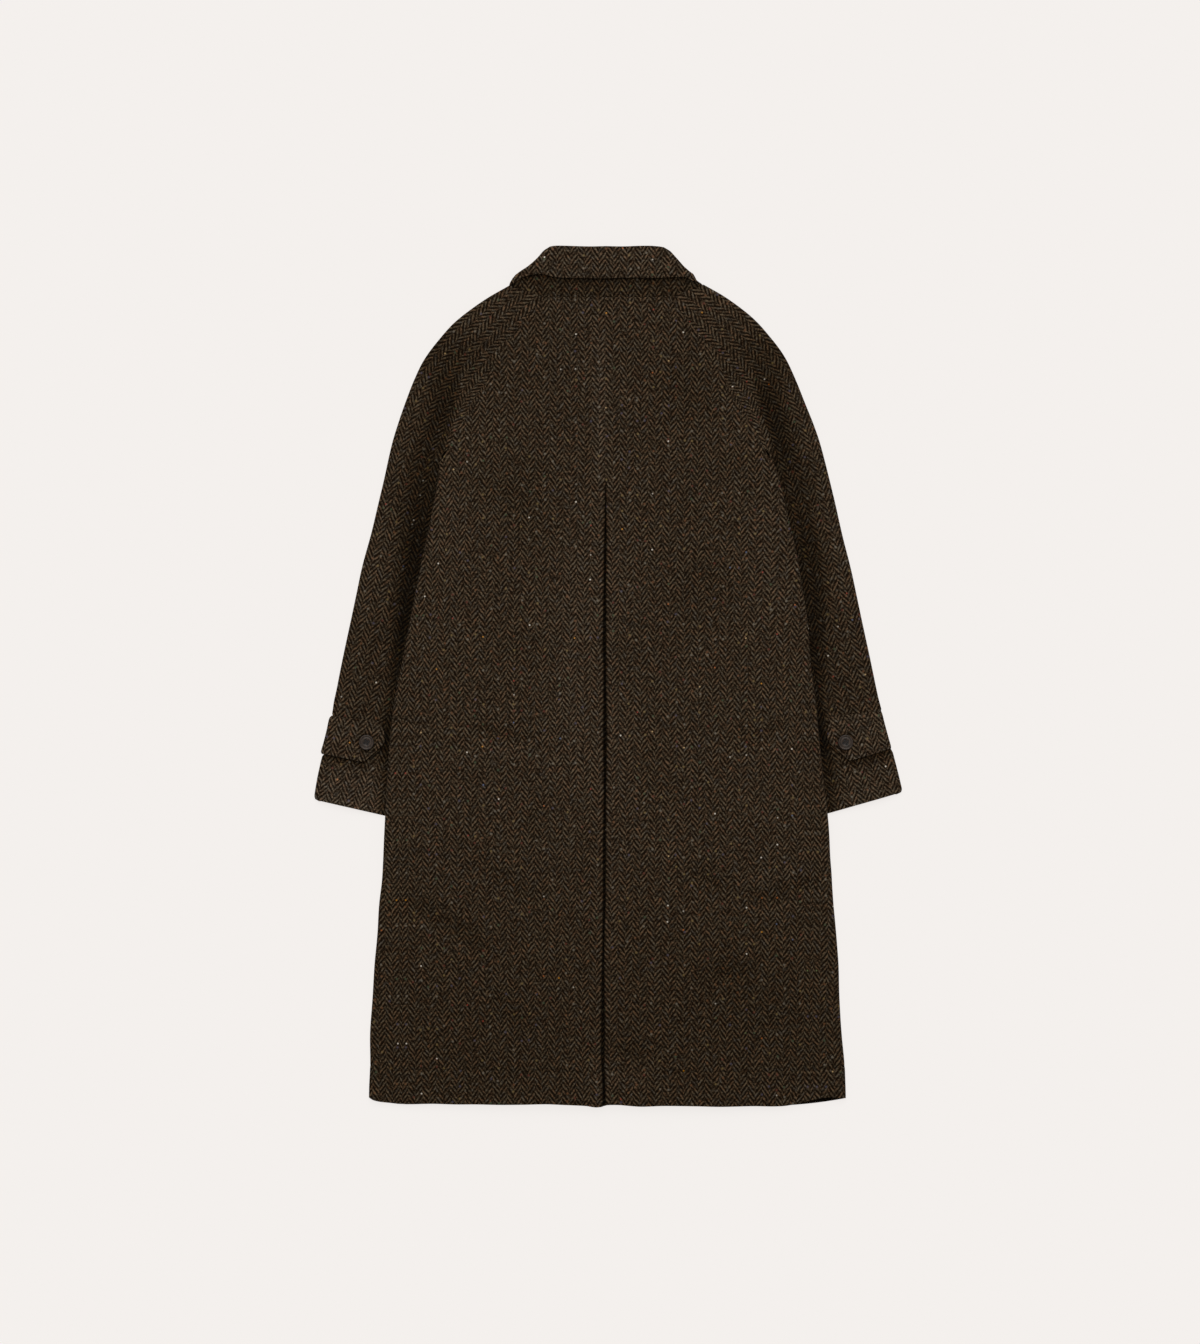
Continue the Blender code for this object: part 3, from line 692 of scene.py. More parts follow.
def relief(x, y, creases):
    """Height that the creases add at a place on the coat."""
    total = 0.0
    for start_x, start_y, end_x, end_y, bow, width, depth in creases:
        along_x, along_y = end_x - start_x, end_y - start_y
        length = math.hypot(along_x, along_y)
        share = ((x - start_x) * along_x + (y - start_y) * along_y) / length ** 2
        if CREASE_IN[0] < share < CREASE_OUT[0]:
            off = ((x - start_x) * along_y - (y - start_y) * along_x) / length
            off -= bow * 4 * share * (1 - share)
            ends = smooth(share, *CREASE_IN) * smooth(share, *CREASE_OUT)
            total -= depth * ends * bell(off, width)
    return total


def floor_layers(y):
    """Layers under the front: the collar's front leaf near the neck."""
    return smooth(y, *NECK_RAMP)


def tucked(y):
    """How far the sleeve is tucked under the body at a height on the coat, 0 to 1."""
    return smooth(y, *TUCK_TOP) * smooth(y, *TUCK_FOOT)


def mound(x, y):
    """Extra layers under the back: the lap of the fronts and the pleat."""
    upper = MOUND_LAYERS + (COLLAR_MOUND_LAYERS - MOUND_LAYERS) * smooth(y, *MOUND_FALL)
    layers = upper + (NECK_MOUND_LAYERS - COLLAR_MOUND_LAYERS) * smooth(y, *NECK_RAMP)
    return layers * smooth(abs(x), *MOUND_RAMP)


def top_lift(y):
    """How far the upper layers stand off the lower ones."""
    return TOP_LIFT * smooth(y, *NECK_EASE)


def fold_x(y):
    """Outermost line of the body's side fold."""
    return read(BODY, y, 1)


def body_reach(y):
    """Outer edge of the back: the raglan seam or, below the underarm, the side fold."""
    return read(RAGLAN, y, 1) if y > UNDERARM_Y else fold_x(y)


def hem_relief(y):
    """The hem is thicker below its stitched line."""
    return HEM_THICKER * smooth(y, *HEM_STEP) - HEM_DIP * bell(y - HEM_LINE, HEM_DIP_REACH)


def body_top(x, y, side):
    """Height of the cloth on top of the body."""
    reach = body_reach(y)
    base = WALL / 2 + LAYER * (1 + floor_layers(y)) + top_lift(y)
    centre = base + LAYER * mound(0.0, y)
    edge = base + LAYER * (mound(reach, y) + TUCK_LAYERS * tucked(y)) + read(RIDGE, y, 1)
    share = min(max(x / reach, 0.0), 1.0)
    level = centre + (edge - centre) * smooth(share, *SLOPE_SHARE)
    fullness = FULLNESS * math.sin(math.pi * share)
    return level + fullness + relief(side * x, y, BACK_CREASES + BACK_SWELLS) + hem_relief(y)


def front_level(x, y):
    """Height of the front, which is lifted by the tucked sleeve."""
    start = LAP_RAMP[1]
    across = (x - start) / (fold_x(y) - start)
    lift = TUCK_LAYERS * smooth(across, *TUCK_RAMP) * tucked(y)
    return WALL / 2 + LAYER * (floor_layers(y) + lift)


def hem_rise(x, y):
    """How far a place near the hem moves up for the hem's own line."""
    return read(HEM_RISE, x, 1) * max((HEM_RISE_START - y) / (HEM_RISE_START - HEM_Y), 0.0)


def body_path(y, side):
    """The body's section from the centre back round the side fold, with the distance of its side seam."""
    opening = smooth(y, *PLEAT_OPEN)
    start = max(read(PLEAT, y, 1), SEAM / 2) + PLEAT_ROUND * opening
    upper = y > UNDERARM_Y
    end = body_reach(y) if upper else fold_x(y) - SIDE_ROUND
    xs = [start + (end - start) * step / PATH_STEPS for step in range(PATH_STEPS + 1)]
    path = [(x, body_top(x, y, side)) for x in xs]
    if upper:
        return path, lengths(path)[-1]
    low = front_level(end, y)
    turn = half_turn(fold_x(y), SIDE_ROUND, path[-1][1], low, FOLD_STEPS)
    outermost = lengths(path + turn)[PATH_STEPS + FOLD_STEPS // 2]
    path += turn + [(end, low)]
    return path, outermost - read(BODY, y, 2)


def dip(distance):
    """How far the cloth sinks beside a seam."""
    return SEAM_DIP * bell(distance, SEAM_REACH)


def corner_lift(x, y):
    """How far the back's hem lifts at the bottom right corner, 0 to 1."""
    start, end = CORNER_LIFT
    share = min(max((x - start) / (end - start), 0.0), 1.0)
    return math.sin(math.pi * share ** CORNER_LIFT_LEAN) * smooth(y, *CORNER_LIFT_ROWS)


def body_point(x, y, z, side, on_top):
    """Place a point of the body on the coat: its side, fold, pleat and hem."""
    fold = fold_x(y)
    shifted = x + read(FOLD_SHIFT, y, on_side(side)) * smooth(x, fold - FOLD_SHIFT_REACH, fold)
    across = side * shifted + read(PLEAT, y, 3) * smooth(x, DRIFT_REACH, 0.0) * on_top
    lift = corner_lift(side * x, y) * on_top
    up = y + hem_rise(side * x, y) + CORNER_LIFT_IN * lift
    return Vector((across, up, z + CORNER_LIFT_UP * lift))


def body_shade(side, x, y, on_top):
    """Painted shade and light of the body: painted shade towards the hem, in troughs and along the hem's
    stitched line, and painted light on ridges and on the pleat's edges.
    """
    lower = 1 - HEM_SHADE * smooth(y, *HEM_SHADE_ROWS)
    # Painted highlight on the rounded edges of the pleat's folds
    pleat_highlight = PLEAT_LIGHT * bell(x, PLEAT_LIGHT_REACH) * smooth(y, *PLEAT_OPEN)
    # Painted shade along the groove of the hem's stitched line
    stitched = STITCH_SHADE * bell(y - HEM_LINE, STITCH_REACH)
    # Painted shade in troughs and painted light on ridges of the creases and swells
    creased = CREASE_SHADE * relief(side * x, y, BACK_CREASES)
    creased += SWELL_SHADE * relief(side * x, y, BACK_SWELLS)
    return lower * (1 - stitched) * (1 + (pleat_highlight + creased) * on_top)


def weave_along(points, start, side):
    """Distance across the cloth at each point of a row, counted from one of them, with the side's sign."""
    places = lengths(points)
    middle = places[start]
    return [side * (points[start][0] + place - middle) for place in places]


def heights(rows):
    """Heights of a panel's rows, from a table of from, to and pitch."""
    found = []
    for start, end, pitch in rows:
        count = max(round((start - end) / pitch), 1)
        found += [start + (end - start) * step / count for step in range(count)]
    return found + [rows[-1][1]]


def back_row(y, side):
    """Back panel at a height: the pleat's hidden return, its fold, and the top as far as the side seam."""
    path, seam_place = body_path(y, side)
    places = lengths(path)
    start_x, start_z = path[0]
    opening = smooth(y, *PLEAT_OPEN)
    gap = LAYER * opening
    width = max(read(PLEAT, y, 2), 0.0) * opening
    low = start_z - gap
    hidden = [(start_x + width * (1 - step / RETURN_COLUMNS), low) for step in range(RETURN_COLUMNS)]
    fold = half_turn(start_x - PLEAT_ROUND * opening, PLEAT_ROUND * opening, low, start_z, PLEAT_TURNS, -1)
    hidden += [(start_x, low)] + fold
    points = list(hidden)
    for share in spread(BACK_COLUMNS):
        place = share * seam_place
        x, z = at_length(path, places, place)
        sink = dip(seam_place - place) + dip(NECK_Y - y) + dip(x) * (1 - opening)
        points.append((x, z - sink))
    across = weave_along(points, len(hidden), side)
    row = []
    for place, ((x, z), u) in enumerate(zip(points, across)):
        spot = body_point(x, y, z, side, 1.0)
        # Painted shade on the pleat's hidden return and the inner half of its fold, down in the gap
        inside = opening * smooth(place, len(hidden), len(hidden) - PLEAT_TURNS / 2)
        row.append((spot, u, spot.y, body_shade(side, x, y, 1.0) * (1 - (1 - GAP_SHADE) * inside)))
    return row


def front_row(y, side, lap_layers):
    """Front panel at a height: from the side seam round the fold, along the floor and to the lap."""
    path, seam_place = body_path(min(y, UNDERARM_Y), side)
    places = lengths(path)
    end_x, end_z = path[-1]
    seam_x = read(RAGLAN, y, 2)
    edge = seam_x + smooth(y, *FRONT_JOIN) * (end_x - seam_x)
    drop = front_level(edge, y) - end_z
    start = places[-1] - smooth(y, *FRONT_WRAP) * (places[-1] - seam_place - SEAM)
    points = []
    for share in spread(FRONT_TURN_COLUMNS):
        place = start + share * (places[-1] - start)
        x, z = at_length(path, places, place)
        sink = dip(place - seam_place) * smooth(places[-1] - seam_place, *FRONT_SEAM_EASE)
        points.append((x + edge - end_x, z + drop - sink))
    for share in spread(FRONT_COLUMNS)[1:]:
        x = edge + share * (-LAP_HALF - edge)
        lap = lap_layers * smooth(x, LAP_RAMP[1], LAP_RAMP[0])
        z = front_level(x, y) + LAYER * lap
        lie = smooth(x, LAP_RAMP[0], LAP_RAMP[1] + LAP_CLEAR) * smooth(x, edge, edge - EDGE_CLEAR)
        points.append((x, z + lie * max(relief(side * x, y, FRONT_CREASES), 0.0)))
    across = weave_along(points, FRONT_TURN_COLUMNS - 1, side)
    row = []
    for place, ((x, z), u) in enumerate(zip(points, across)):
        on_top = 1.0 if place < FRONT_TOP_COLUMNS else 0.0
        spot = body_point(x, y, z, side, on_top)
        # Painted shadow on the front's hem under the back's lifted corner
        under_lift = CORNER_LIFT_SHADE * corner_lift(side * x, y) * (1 - on_top)
        row.append((spot, u, spot.y, body_shade(side, x, y, on_top) * (1 - under_lift)))
    return row


def sleeve_edge(y, side):
    """Outer edge of the sleeve and its fullness at a height on the coat."""
    return read(SLEEVE_EDGE, y, 1) + read(EDGE_SHIFT, y, on_side(side)), read(SLEEVE_EDGE, y, 2)


def sleeve_cover(y):
    """Where the sleeve comes out from the raglan seam or, below it, from under the body."""
    seam = read(RAGLAN, y, 1)
    under = smooth(y, RAGLAN[1][0], RAGLAN[0][0])
    return seam + under * (fold_x(y) + COVER_MARGIN - seam)


def hollow(x, y):
    """Depth of the hollow that carries the body's fold up the sleeve."""
    return read(HOLLOW, y, 2) * bell(x - read(HOLLOW, y, 1), read(HOLLOW, y, 3))


def sleeve_top(x, y, side):
    """Height of the back sleeve."""
    edge, loft = sleeve_edge(y, side)
    cover = sleeve_cover(y)
    share = min(max((x - cover) / (edge - cover), 0.0), 1.0)
    swell = loft * math.sin(math.pi * share ** SLEEVE_CREST) ** SLEEVE_SWELL
    base = WALL / 2 + LAYER * (1 + floor_layers(y) + mound(x, y))
    lift = top_lift(y) * (1 - tucked(y))
    creased = relief(side * x, y, SLEEVE_CREASES) * smooth(share, *SLEEVE_CREASE_EASE)
    height = max(base + lift + swell - hollow(x, y) + creased, base)
    seam = read(RAGLAN, y, 1)
    joined = smooth(x - seam, SEAM_SLOPE, 0.0) * smooth(y, *SEAM_SLOPE_ROWS)
    if joined > 0:
        back = body_top(seam, y, side) - LAYER * smooth(y, *SEAM_UNDER_ROWS)
        height += joined * max(back - height, 0.0)
    return height


def sleeve_shade(x, y, side):
    """Painted shade and light of the sleeve: painted shade beside the body's fold and in the hollow above
    it, over the shoulder and lower down, and painted light on the cuff.
    """
    valley = VALLEY_RIGHT if side > 0 else VALLEY_LEFT
    line = read(HOLLOW, y, 1)
    line += smooth(y, *VALLEY_JOIN) * (sleeve_cover(y) - line)
    off = x - line - read(valley, y, 1)
    reach = read(valley, y, 3) if off > 0 else VALLEY_EDGE
    deep = read(valley, y, 4) * bell(max(off - read(valley, y, 2), 0.0) + min(off, 0.0), reach)
    shoulder = SHOULDER_SHADE * bell(y - SHOULDER_Y, SHOULDER_ROWS) * bell(x - SHOULDER_X, SHOULDER_REACH)
    lower = LOWER_SLEEVE_SHADE * smooth(y, *LOWER_SLEEVE_ROWS)
    ending = CUFF_LIGHT[side] * smooth(y, *CUFF_LIGHT_ROWS)
    return (1 - deep) * (1 - shoulder) * (1 - lower) * (1 + ending)


def strap_shadow(x, y, side):
    """How much painted shadow the strap casts on the sleeve beside its lower edge and its tip, 0 to 1."""
    inward = sleeve_edge(y, side)[0] - x
    drop, change = STRAP_DROP[side]
    share = (y - STRAP_MIDDLE[side] + inward * drop) / (STRAP_HALF - inward * change)
    below = STRAP_HALF * (-1 - share)
    beyond = inward - STRAP_LENGTH + read(STRAP_END, share, 1)
    off = max(below, beyond)
    if off <= -STRAP_HALF:
        return 0.0
    return bell(max(off, 0.0), STRAP_UNDER_REACH) * smooth(share, *STRAP_UNDER_FADE)


def sleeve_ends(place):
    """Inner and outer point of the back sleeve's row, and the inner point of the front sleeve's."""
    y, back_x, front_x, edge_x, edge_y = (read(SLEEVE, place, column) for column in range(1, 6))
    return Vector((back_x + SEAM, y)), Vector((edge_x, edge_y)), Vector((front_x + SEAM, y))


def edge_shift(place, side):
    """How far the sleeve's outer edge moves: for its side, the cuff's corner and the strap's pinch."""
    ending = smooth(place, CUFF_START, SLEEVE[-1][0])
    edge = sleeve_ends(place)[1]
    before = min((sleeve_ends(SLEEVE[-1][0])[1] - edge).length, CUFF_CORNER)
    corner = CUFF_CORNER - math.sqrt(CUFF_CORNER ** 2 - (CUFF_CORNER - before) ** 2)
    from_strap = abs(edge.y - STRAP_MIDDLE[side]) - STRAP_HALF
    pinch = STRAP_PINCH * smooth(from_strap, *STRAP_PINCH_ROWS)
    out = read(EDGE_SHIFT, edge.y, on_side(side)) - corner - CUFF_IN[side] * ending - pinch
    return Vector((out, -CUFF_DROP[side] * ending))


SLEEVE_STEPS = SLEEVE_ROWS_EACH * (len(SLEEVE) - 1)
SLEEVE_PLACES = [step / SLEEVE_ROWS_EACH for step in range(SLEEVE_STEPS + 1)]


def grain_point(place):
    """A point of the line that the sleeve's stripes follow, its outer edge with the bends evened out."""
    steps = range(-GRAIN_STEPS, GRAIN_STEPS + 1)
    near = [min(max(place + GRAIN_EASE * step / GRAIN_STEPS, 0.0), SLEEVE[-1][0]) for step in steps]
    return tuple(sum((sleeve_ends(one)[1] for one in near), Vector((0.0, 0.0))) / len(near))


GRAIN_LINE = [grain_point(place) for place in SLEEVE_PLACES]
GRAIN_LENGTHS = lengths(GRAIN_LINE)


def sleeve_grain(spot):
    """Distance in from the sleeve's outer edge and along it, which its stripes follow."""
    best = None
    last = len(GRAIN_LINE) - 2
    for place in range(last + 1):
        start = Vector(GRAIN_LINE[place])
        way = Vector(GRAIN_LINE[place + 1]) - start
        share = (spot - start).dot(way) / way.length_squared
        share = min(share, 1.0) if place < last else share
        share = max(share, 0.0) if place > 0 else share
        off = spot - start - way * share
        if best is None or off.length < best[0]:
            inside = way.x * off.y - way.y * off.x < 0
            best = (off.length, inside, GRAIN_LENGTHS[place] + share * way.length)
    distance, inside, along = best
    return distance if inside else -distance, along


def sleeve_row(place, side):
    """Back sleeve at a place along it: over the top, round the outer edge and a little way underneath."""
    inner, outer = sleeve_ends(place)[:2]
    outer = outer + edge_shift(place, side)
    length = (outer - inner).length
    way = (outer - inner) / length
    end = length - SLEEVE_ROUND
    points = []
    for share in spread(SLEEVE_COLUMNS):
        spot = inner + way * share * end
        sink = dip(share * end) if spot.y > UNDERARM_Y else 0.0
        sink += dip((spot - NECK_CORNER).length) if place < NECK_DIP_PLACES else 0.0
        points.append((share * end, sleeve_top(spot.x, spot.y, side) - sink))
    low = front_sleeve_level(outer.y)
    points += half_turn(length, SLEEVE_ROUND, points[-1][1], low, SLEEVE_TURNS)
    turned = len(points)
    for step in range(SLEEVE_RETURN_STEPS + 1):
        points.append((end - SLEEVE_RETURN * step / SLEEVE_RETURN_STEPS, low))
    row = []
    for count, (across, z) in enumerate(points):
        spot = inner + way * across
        off, along = sleeve_grain(spot)
        u = SLEEVE_WEAVE + (off if count < turned - SLEEVE_TURNS // 2 else -off)
        # Painted shade of the sleeve, with the strap's painted shadow
        shade = sleeve_shade(spot.x, spot.y, side) * (1 - STRAP_UNDER * strap_shadow(spot.x, spot.y, side))
        row.append((Vector((side * spot.x, spot.y, z)), side * u, -along, shade))
    return row


def front_sleeve_level(y):
    """Height of the front sleeve."""
    return WALL / 2 + LAYER * floor_layers(y)


def front_sleeve_row(place, side):
    """Front sleeve at a place along it, on the floor as far as the back sleeve's seam."""
    back_inner, outer, inner = sleeve_ends(place)
    outer = outer + edge_shift(place, side)
    seam = outer + (back_inner - outer).normalized() * (SLEEVE_ROUND + SLEEVE_RETURN + SEAM)
    row = []
    for share in spread(SLEEVE_COLUMNS):
        spot = inner.lerp(seam, share)
        lie = smooth(share, *FRONT_SLEEVE_START) * smooth(share, *FRONT_SLEEVE_END)
        rise = lie * max(relief(side * spot.x, spot.y, FRONT_CREASES), 0.0)
        off, along = sleeve_grain(spot)
        z = front_sleeve_level(spot.y) + rise
        row.append((Vector((side * spot.x, spot.y, z)), side * (SLEEVE_WEAVE - off), -along, 1.0))
    return row


def underlay_row(y):
    """Strip under the pleat at a height."""
    level = 2 * LAYER + WALL / 2
    row = []
    for share in spread(UNDERLAY_COLUMNS):
        x = UNDERLAY_HALF * (2 * share - 1)
        spot = Vector((x, y + hem_rise(x, y), level))
        # Painted shade in the middle of the underlay, where it shows in the pleat's gap
        row.append((spot, x, y, 1 - (1 - GAP_SHADE) * bell(x, GAP_REACH)))
    return row


def on_side(side):
    """Column of a table that holds the right side's or the left side's value."""
    return 1 if side > 0 else 2


def collar_columns():
    """Places round the collar: front left, left side, back, right side and front right.

    Each is the share of the half width, the turn round the side, and the side.
    """
    count = COLLAR_FRONT_COLUMNS
    front = [(place / count, -math.pi / 2) for place in range(count)]
    turns = [(1.0, math.pi * (place / COLLAR_SIDE_TURNS - 0.5)) for place in range(COLLAR_SIDE_TURNS + 1)]
    half = COLLAR_BACK_COLUMNS // 2
    back = [(1 - place / half, math.pi / 2) for place in range(1, half)]
    right = [(share, turn, 1) for share, turn in front + turns + back]
    left = [(share, turn, -1) for share, turn, side in right]
    return right + [(0.0, math.pi / 2, 1)] + left[::-1]


def collar_point(column, y, rise, front_gap):
    """A point of the flattened ring, off its middle layer, and its distance round from the centre back."""
    share, turn, side = column
    half = read(COLLAR_SIDE, y, on_side(side)) - FALL_RISE - WALL / 2
    x = share * half
    round_back = x
    if turn < math.pi / 2:
        round_back = half + rise * (math.pi / 2 - turn)
    if turn < 0 and share < 1:
        x = front_gap + share * (half - front_gap)
        round_back = half + rise * math.pi + half - x
    spot = Vector((side * (x + rise * math.cos(turn)), y, COLLAR_MIDDLE + rise * math.sin(turn)))
    return spot, side * round_back


def round_collar(column, front_table, back_table):
    """Read a collar edge for a column: the front's, the back's or between them round the side."""
    share, turn, side = column
    back_share = 0.5 + turn / math.pi
    front_y = read(front_table, share, on_side(side))
    return front_y + back_share * (read(back_table, share, on_side(side)) - front_y)


def roll_y(column):
    """Height of the roll on the coat at a column, lower round the sides."""
    share, turn, side = column
    return read(ROLL_LINE, share, on_side(side)) - ROLL_SIDE_DROP * math.cos(turn)


def point_gap(y):
    """Half the gap between the collar's front ends, wider towards the points."""
    return FRONT_GAP + POINT_SPREAD * smooth(y, ROLL_Y, FALL_FRONT_EDGE[0][1])


def fall_row(column):
    """Collar fall at a column: from its lower edge up to the roll, over it and a little way down inside."""
    back_part = max(math.sin(column[1]), 0.0)
    low = round_collar(column, FALL_FRONT_EDGE, FALL_BACK_EDGE)
    roll = roll_y(column)
    end = roll - ROLL_ROUND
    path = []
    for share in spread(FALL_ROWS):
        swell = FALL_BULGE * math.sin(math.pi * share)
        swell += FALL_EDGE_LIFT * (1 - smooth(share, *FALL_EDGE_EASE))
        path.append((low + share * (end - low), FALL_RISE + swell * back_part))
    path += half_turn(roll, ROLL_ROUND, FALL_RISE, STAND_RISE, ROLL_TURNS)
    path += [(end, STAND_RISE), (roll - ROLL_RETURN, STAND_RISE)]
    places = lengths(path)
    row = []
    for (y, rise), place in zip(path, places):
        spot, round_back = collar_point(column, y, rise, point_gap(y))
        # Painted light on the collar's fall
        row.append((spot, round_back, low + place, COLLAR_LIGHT))
    return row


def neck_y(x):
    """Neck seam: level across the back, rising along the sleeves' tops."""
    y, seam_x, edge_x, edge_y = (SLEEVE[0][column] for column in (1, 2, 4, 5))
    share = max((abs(x) - seam_x) / (edge_x - seam_x), 0.0)
    return y + share * (edge_y - y)


def stand_row(column):
    """Collar stand at a column, between the neck seam and the inside of the roll."""
    outside = collar_point(column, COLLAR_SIDE[0][0], STAND_RISE + WALL / 2, 0.0)[0]
    low = neck_y(outside.x) + SEAM
    high = roll_y(column) - ROLL_RETURN - SEAM
    edge = round_collar(column, FALL_FRONT_EDGE, FALL_BACK_EDGE)
    row = []
    for share in spread(STAND_ROWS):
        y = low + share * (high - low)
        spot, round_back = collar_point(column, y, STAND_RISE, SEAM / 2)
        spot.z -= dip(y - low) * max(math.sin(column[1]), 0.0)
        # Painted shadow under the fall's edge, over painted shade on the whole stand
        covered = FALL_SHADE * bell(y - edge, FALL_SHADE_REACH)
        row.append((spot, round_back, y - STAND_WEAVE, (1 - STAND_SHADE) * (1 - covered)))
    return row


def strap_plan(share, inward, side):
    """A plan point of the strap, at a share of its half width and a distance in from the sleeve's edge."""
    y = STRAP_MIDDLE[side] + share * STRAP_HALF
    edge = sleeve_edge(y, side)[0] + read(STRAP_OUT, share, on_side(side))
    drop = STRAP_DROP[side][0] + STRAP_DROP[side][1] * share
    return Vector((edge - inward * math.sqrt(1 - drop ** 2), y - inward * drop))


def strap_level(plan, side):
    """Height of the strap on the sleeve."""
    return sleeve_top(plan.x, plan.y, side) + STRAP_CLEAR


def strap_row(share, side):
    """Cuff strap at a share of its half width: from the floor up the sleeve's outer edge and inwards."""
    length = STRAP_LENGTH - read(STRAP_END, share, 1)
    rim = STRAP_EDGE_DIP * bell(1 - abs(share), STRAP_EDGE_REACH)
    points = []
    start = strap_level(strap_plan(share, STRAP_ROUND, side), side) - rim
    for step in range(STRAP_TURNS):
        points.append((0.0, STRAP_CLOTH / 2 + (start - STRAP_ROUND - STRAP_CLOTH / 2) * step / STRAP_TURNS))
    for step in range(STRAP_TURNS):
        angle = math.pi / 2 * step / STRAP_TURNS
        points.append((STRAP_ROUND * (1 - math.cos(angle)), start - STRAP_ROUND * (1 - math.sin(angle))))
    for place in spread(STRAP_COLUMNS):
        inward = STRAP_ROUND + place * (length - STRAP_ROUND)
        ending = STRAP_EDGE_DIP * bell(length - inward, STRAP_EDGE_REACH * STRAP_HALF)
        points.append((inward, strap_level(strap_plan(share, inward, side), side) - max(rim, ending)))
    row = []
    for inward, z in points:
        plan = strap_plan(share, inward, side)
        off, along = sleeve_grain(plan)
        drop = start - z if inward == 0.0 else 0.0
        # Painted light on the strap, with a painted shadow ring round the button
        button_gap = max(math.hypot(plan.x - BUTTON_X, plan.y - BUTTON_Y) - BUTTON_RADIUS, 0.0)
        tone = STRAP_LIGHT[side] * (1 - BUTTON_SHADE * bell(button_gap, BUTTON_SHADE_REACH))
        across, start_along = STRAP_WEAVE
        spot = Vector((side * plan.x, plan.y, z))
        row.append((spot, side * (across + off - drop), start_along - along, tone))
    return row


def linear(code):
    """Turn an sRGB hex colour to linear."""
    parts = [int(code[start:start + 2], 16) / 255 for start in (1, 3, 5)]
    return (*[((p + 0.055) / 1.055) ** 2.4 if p > 0.04045 else p / 12.92 for p in parts], 1.0)


def add_node(material, kind, inputs=(), stops=(), flat=False, **settings):
    """Add a shader node with its settings and a ramp's stops, and set its inputs or link them."""
    node = material.node_tree.nodes.new("ShaderNode" + kind)
    for name, value in settings.items():
        setattr(node, name, value)
    for socket, source in dict(inputs).items():
        if isinstance(source, bpy.types.Node):
            source = source.outputs[0]
        if isinstance(source, bpy.types.NodeSocket):
            material.node_tree.links.new(source, node.inputs[socket])
        else:
            node.inputs[socket].default_value = source
    if stops:
        ramp = node.color_ramp
        ramp.interpolation = "CONSTANT" if flat else "LINEAR"
        while len(ramp.elements) < len(stops):
            ramp.elements.new(1.0)
        for element, (place, code) in zip(ramp.elements, stops):
            element.position = place
            element.color = linear(code)
    return node


def new_material(name, values):
    """A material with only its output and principled shader, and the values that are the same all over."""
    material = bpy.data.materials.new(name)
    material.use_nodes = True
    shader = material.node_tree.nodes["Principled BSDF"]
    for socket, value in values.items():
        shader.inputs[socket].default_value = value
    return material, shader


# Herringbone: stripes of slanting twill lines that turn back at each stripe's edge
STRIPE = 9.6
TWILL_SLOPE = math.tan(math.radians(52.9))
TWILL_PITCH = 7.8
STRIPE_BREAK = 0.5
WEAVE_WOBBLE = 0.8
WOBBLE_SIZE = 26.0

# Yarns: dashes along the twill lines, each stripe's at a place of its own, under the fuzz of the fibres
DASH_LENGTH = 5.0
DASH_STRIPE_STEP = 7.3
DASHES_TO_A_LINE = 1.5
HEATHER_SPREAD = 1.7
FUZZ_SIZE = 2.4
YARN_MIDDLE = 0.41
YARN_WAVE = 0.33
DASH_WAVE = 1.15
FUZZ_WAVE = 1.1
YARN_BUMP = 0.5
YARN_HEIGHT = 0.5
SHADE_RICHNESS = 0.28
GROUND = "#110802"
WOOLS = [(0.3, "#554D43"), (0.42, "#574C3C"), (0.5, "#594B39"), (0.58, "#5D4A38"), (0.7, "#604A36")]

# Specks: dim flecks in the yarn, and neps, which are bright knots of dyed wool
FLECK_WOOLS = [
    (0.0, "#664630"), (0.25, "#73613F"), (0.42, "#5C332A"),
    (0.56, "#70685B"), (0.78, "#434E39"), (0.88, "#4A4450"),
]
NEP_WOOLS = [
    (0.0, "#BDB4A6"), (0.3, "#A08660"), (0.44, "#A4702C"), (0.54, "#8E5330"),
    (0.66, "#7C382E"), (0.76, "#948C80"), (0.92, "#59603F"), (0.96, "#4D566B"),
]
SPECKS = [  # cell, share of the cells that hold one, outer radius, full radius, strength, wools
    (10.5, 0.2, 2.1, 0.84, 0.6, FLECK_WOOLS),
    (21.0, 0.09, 1.4375, 0.575, 1.0, NEP_WOOLS),
]


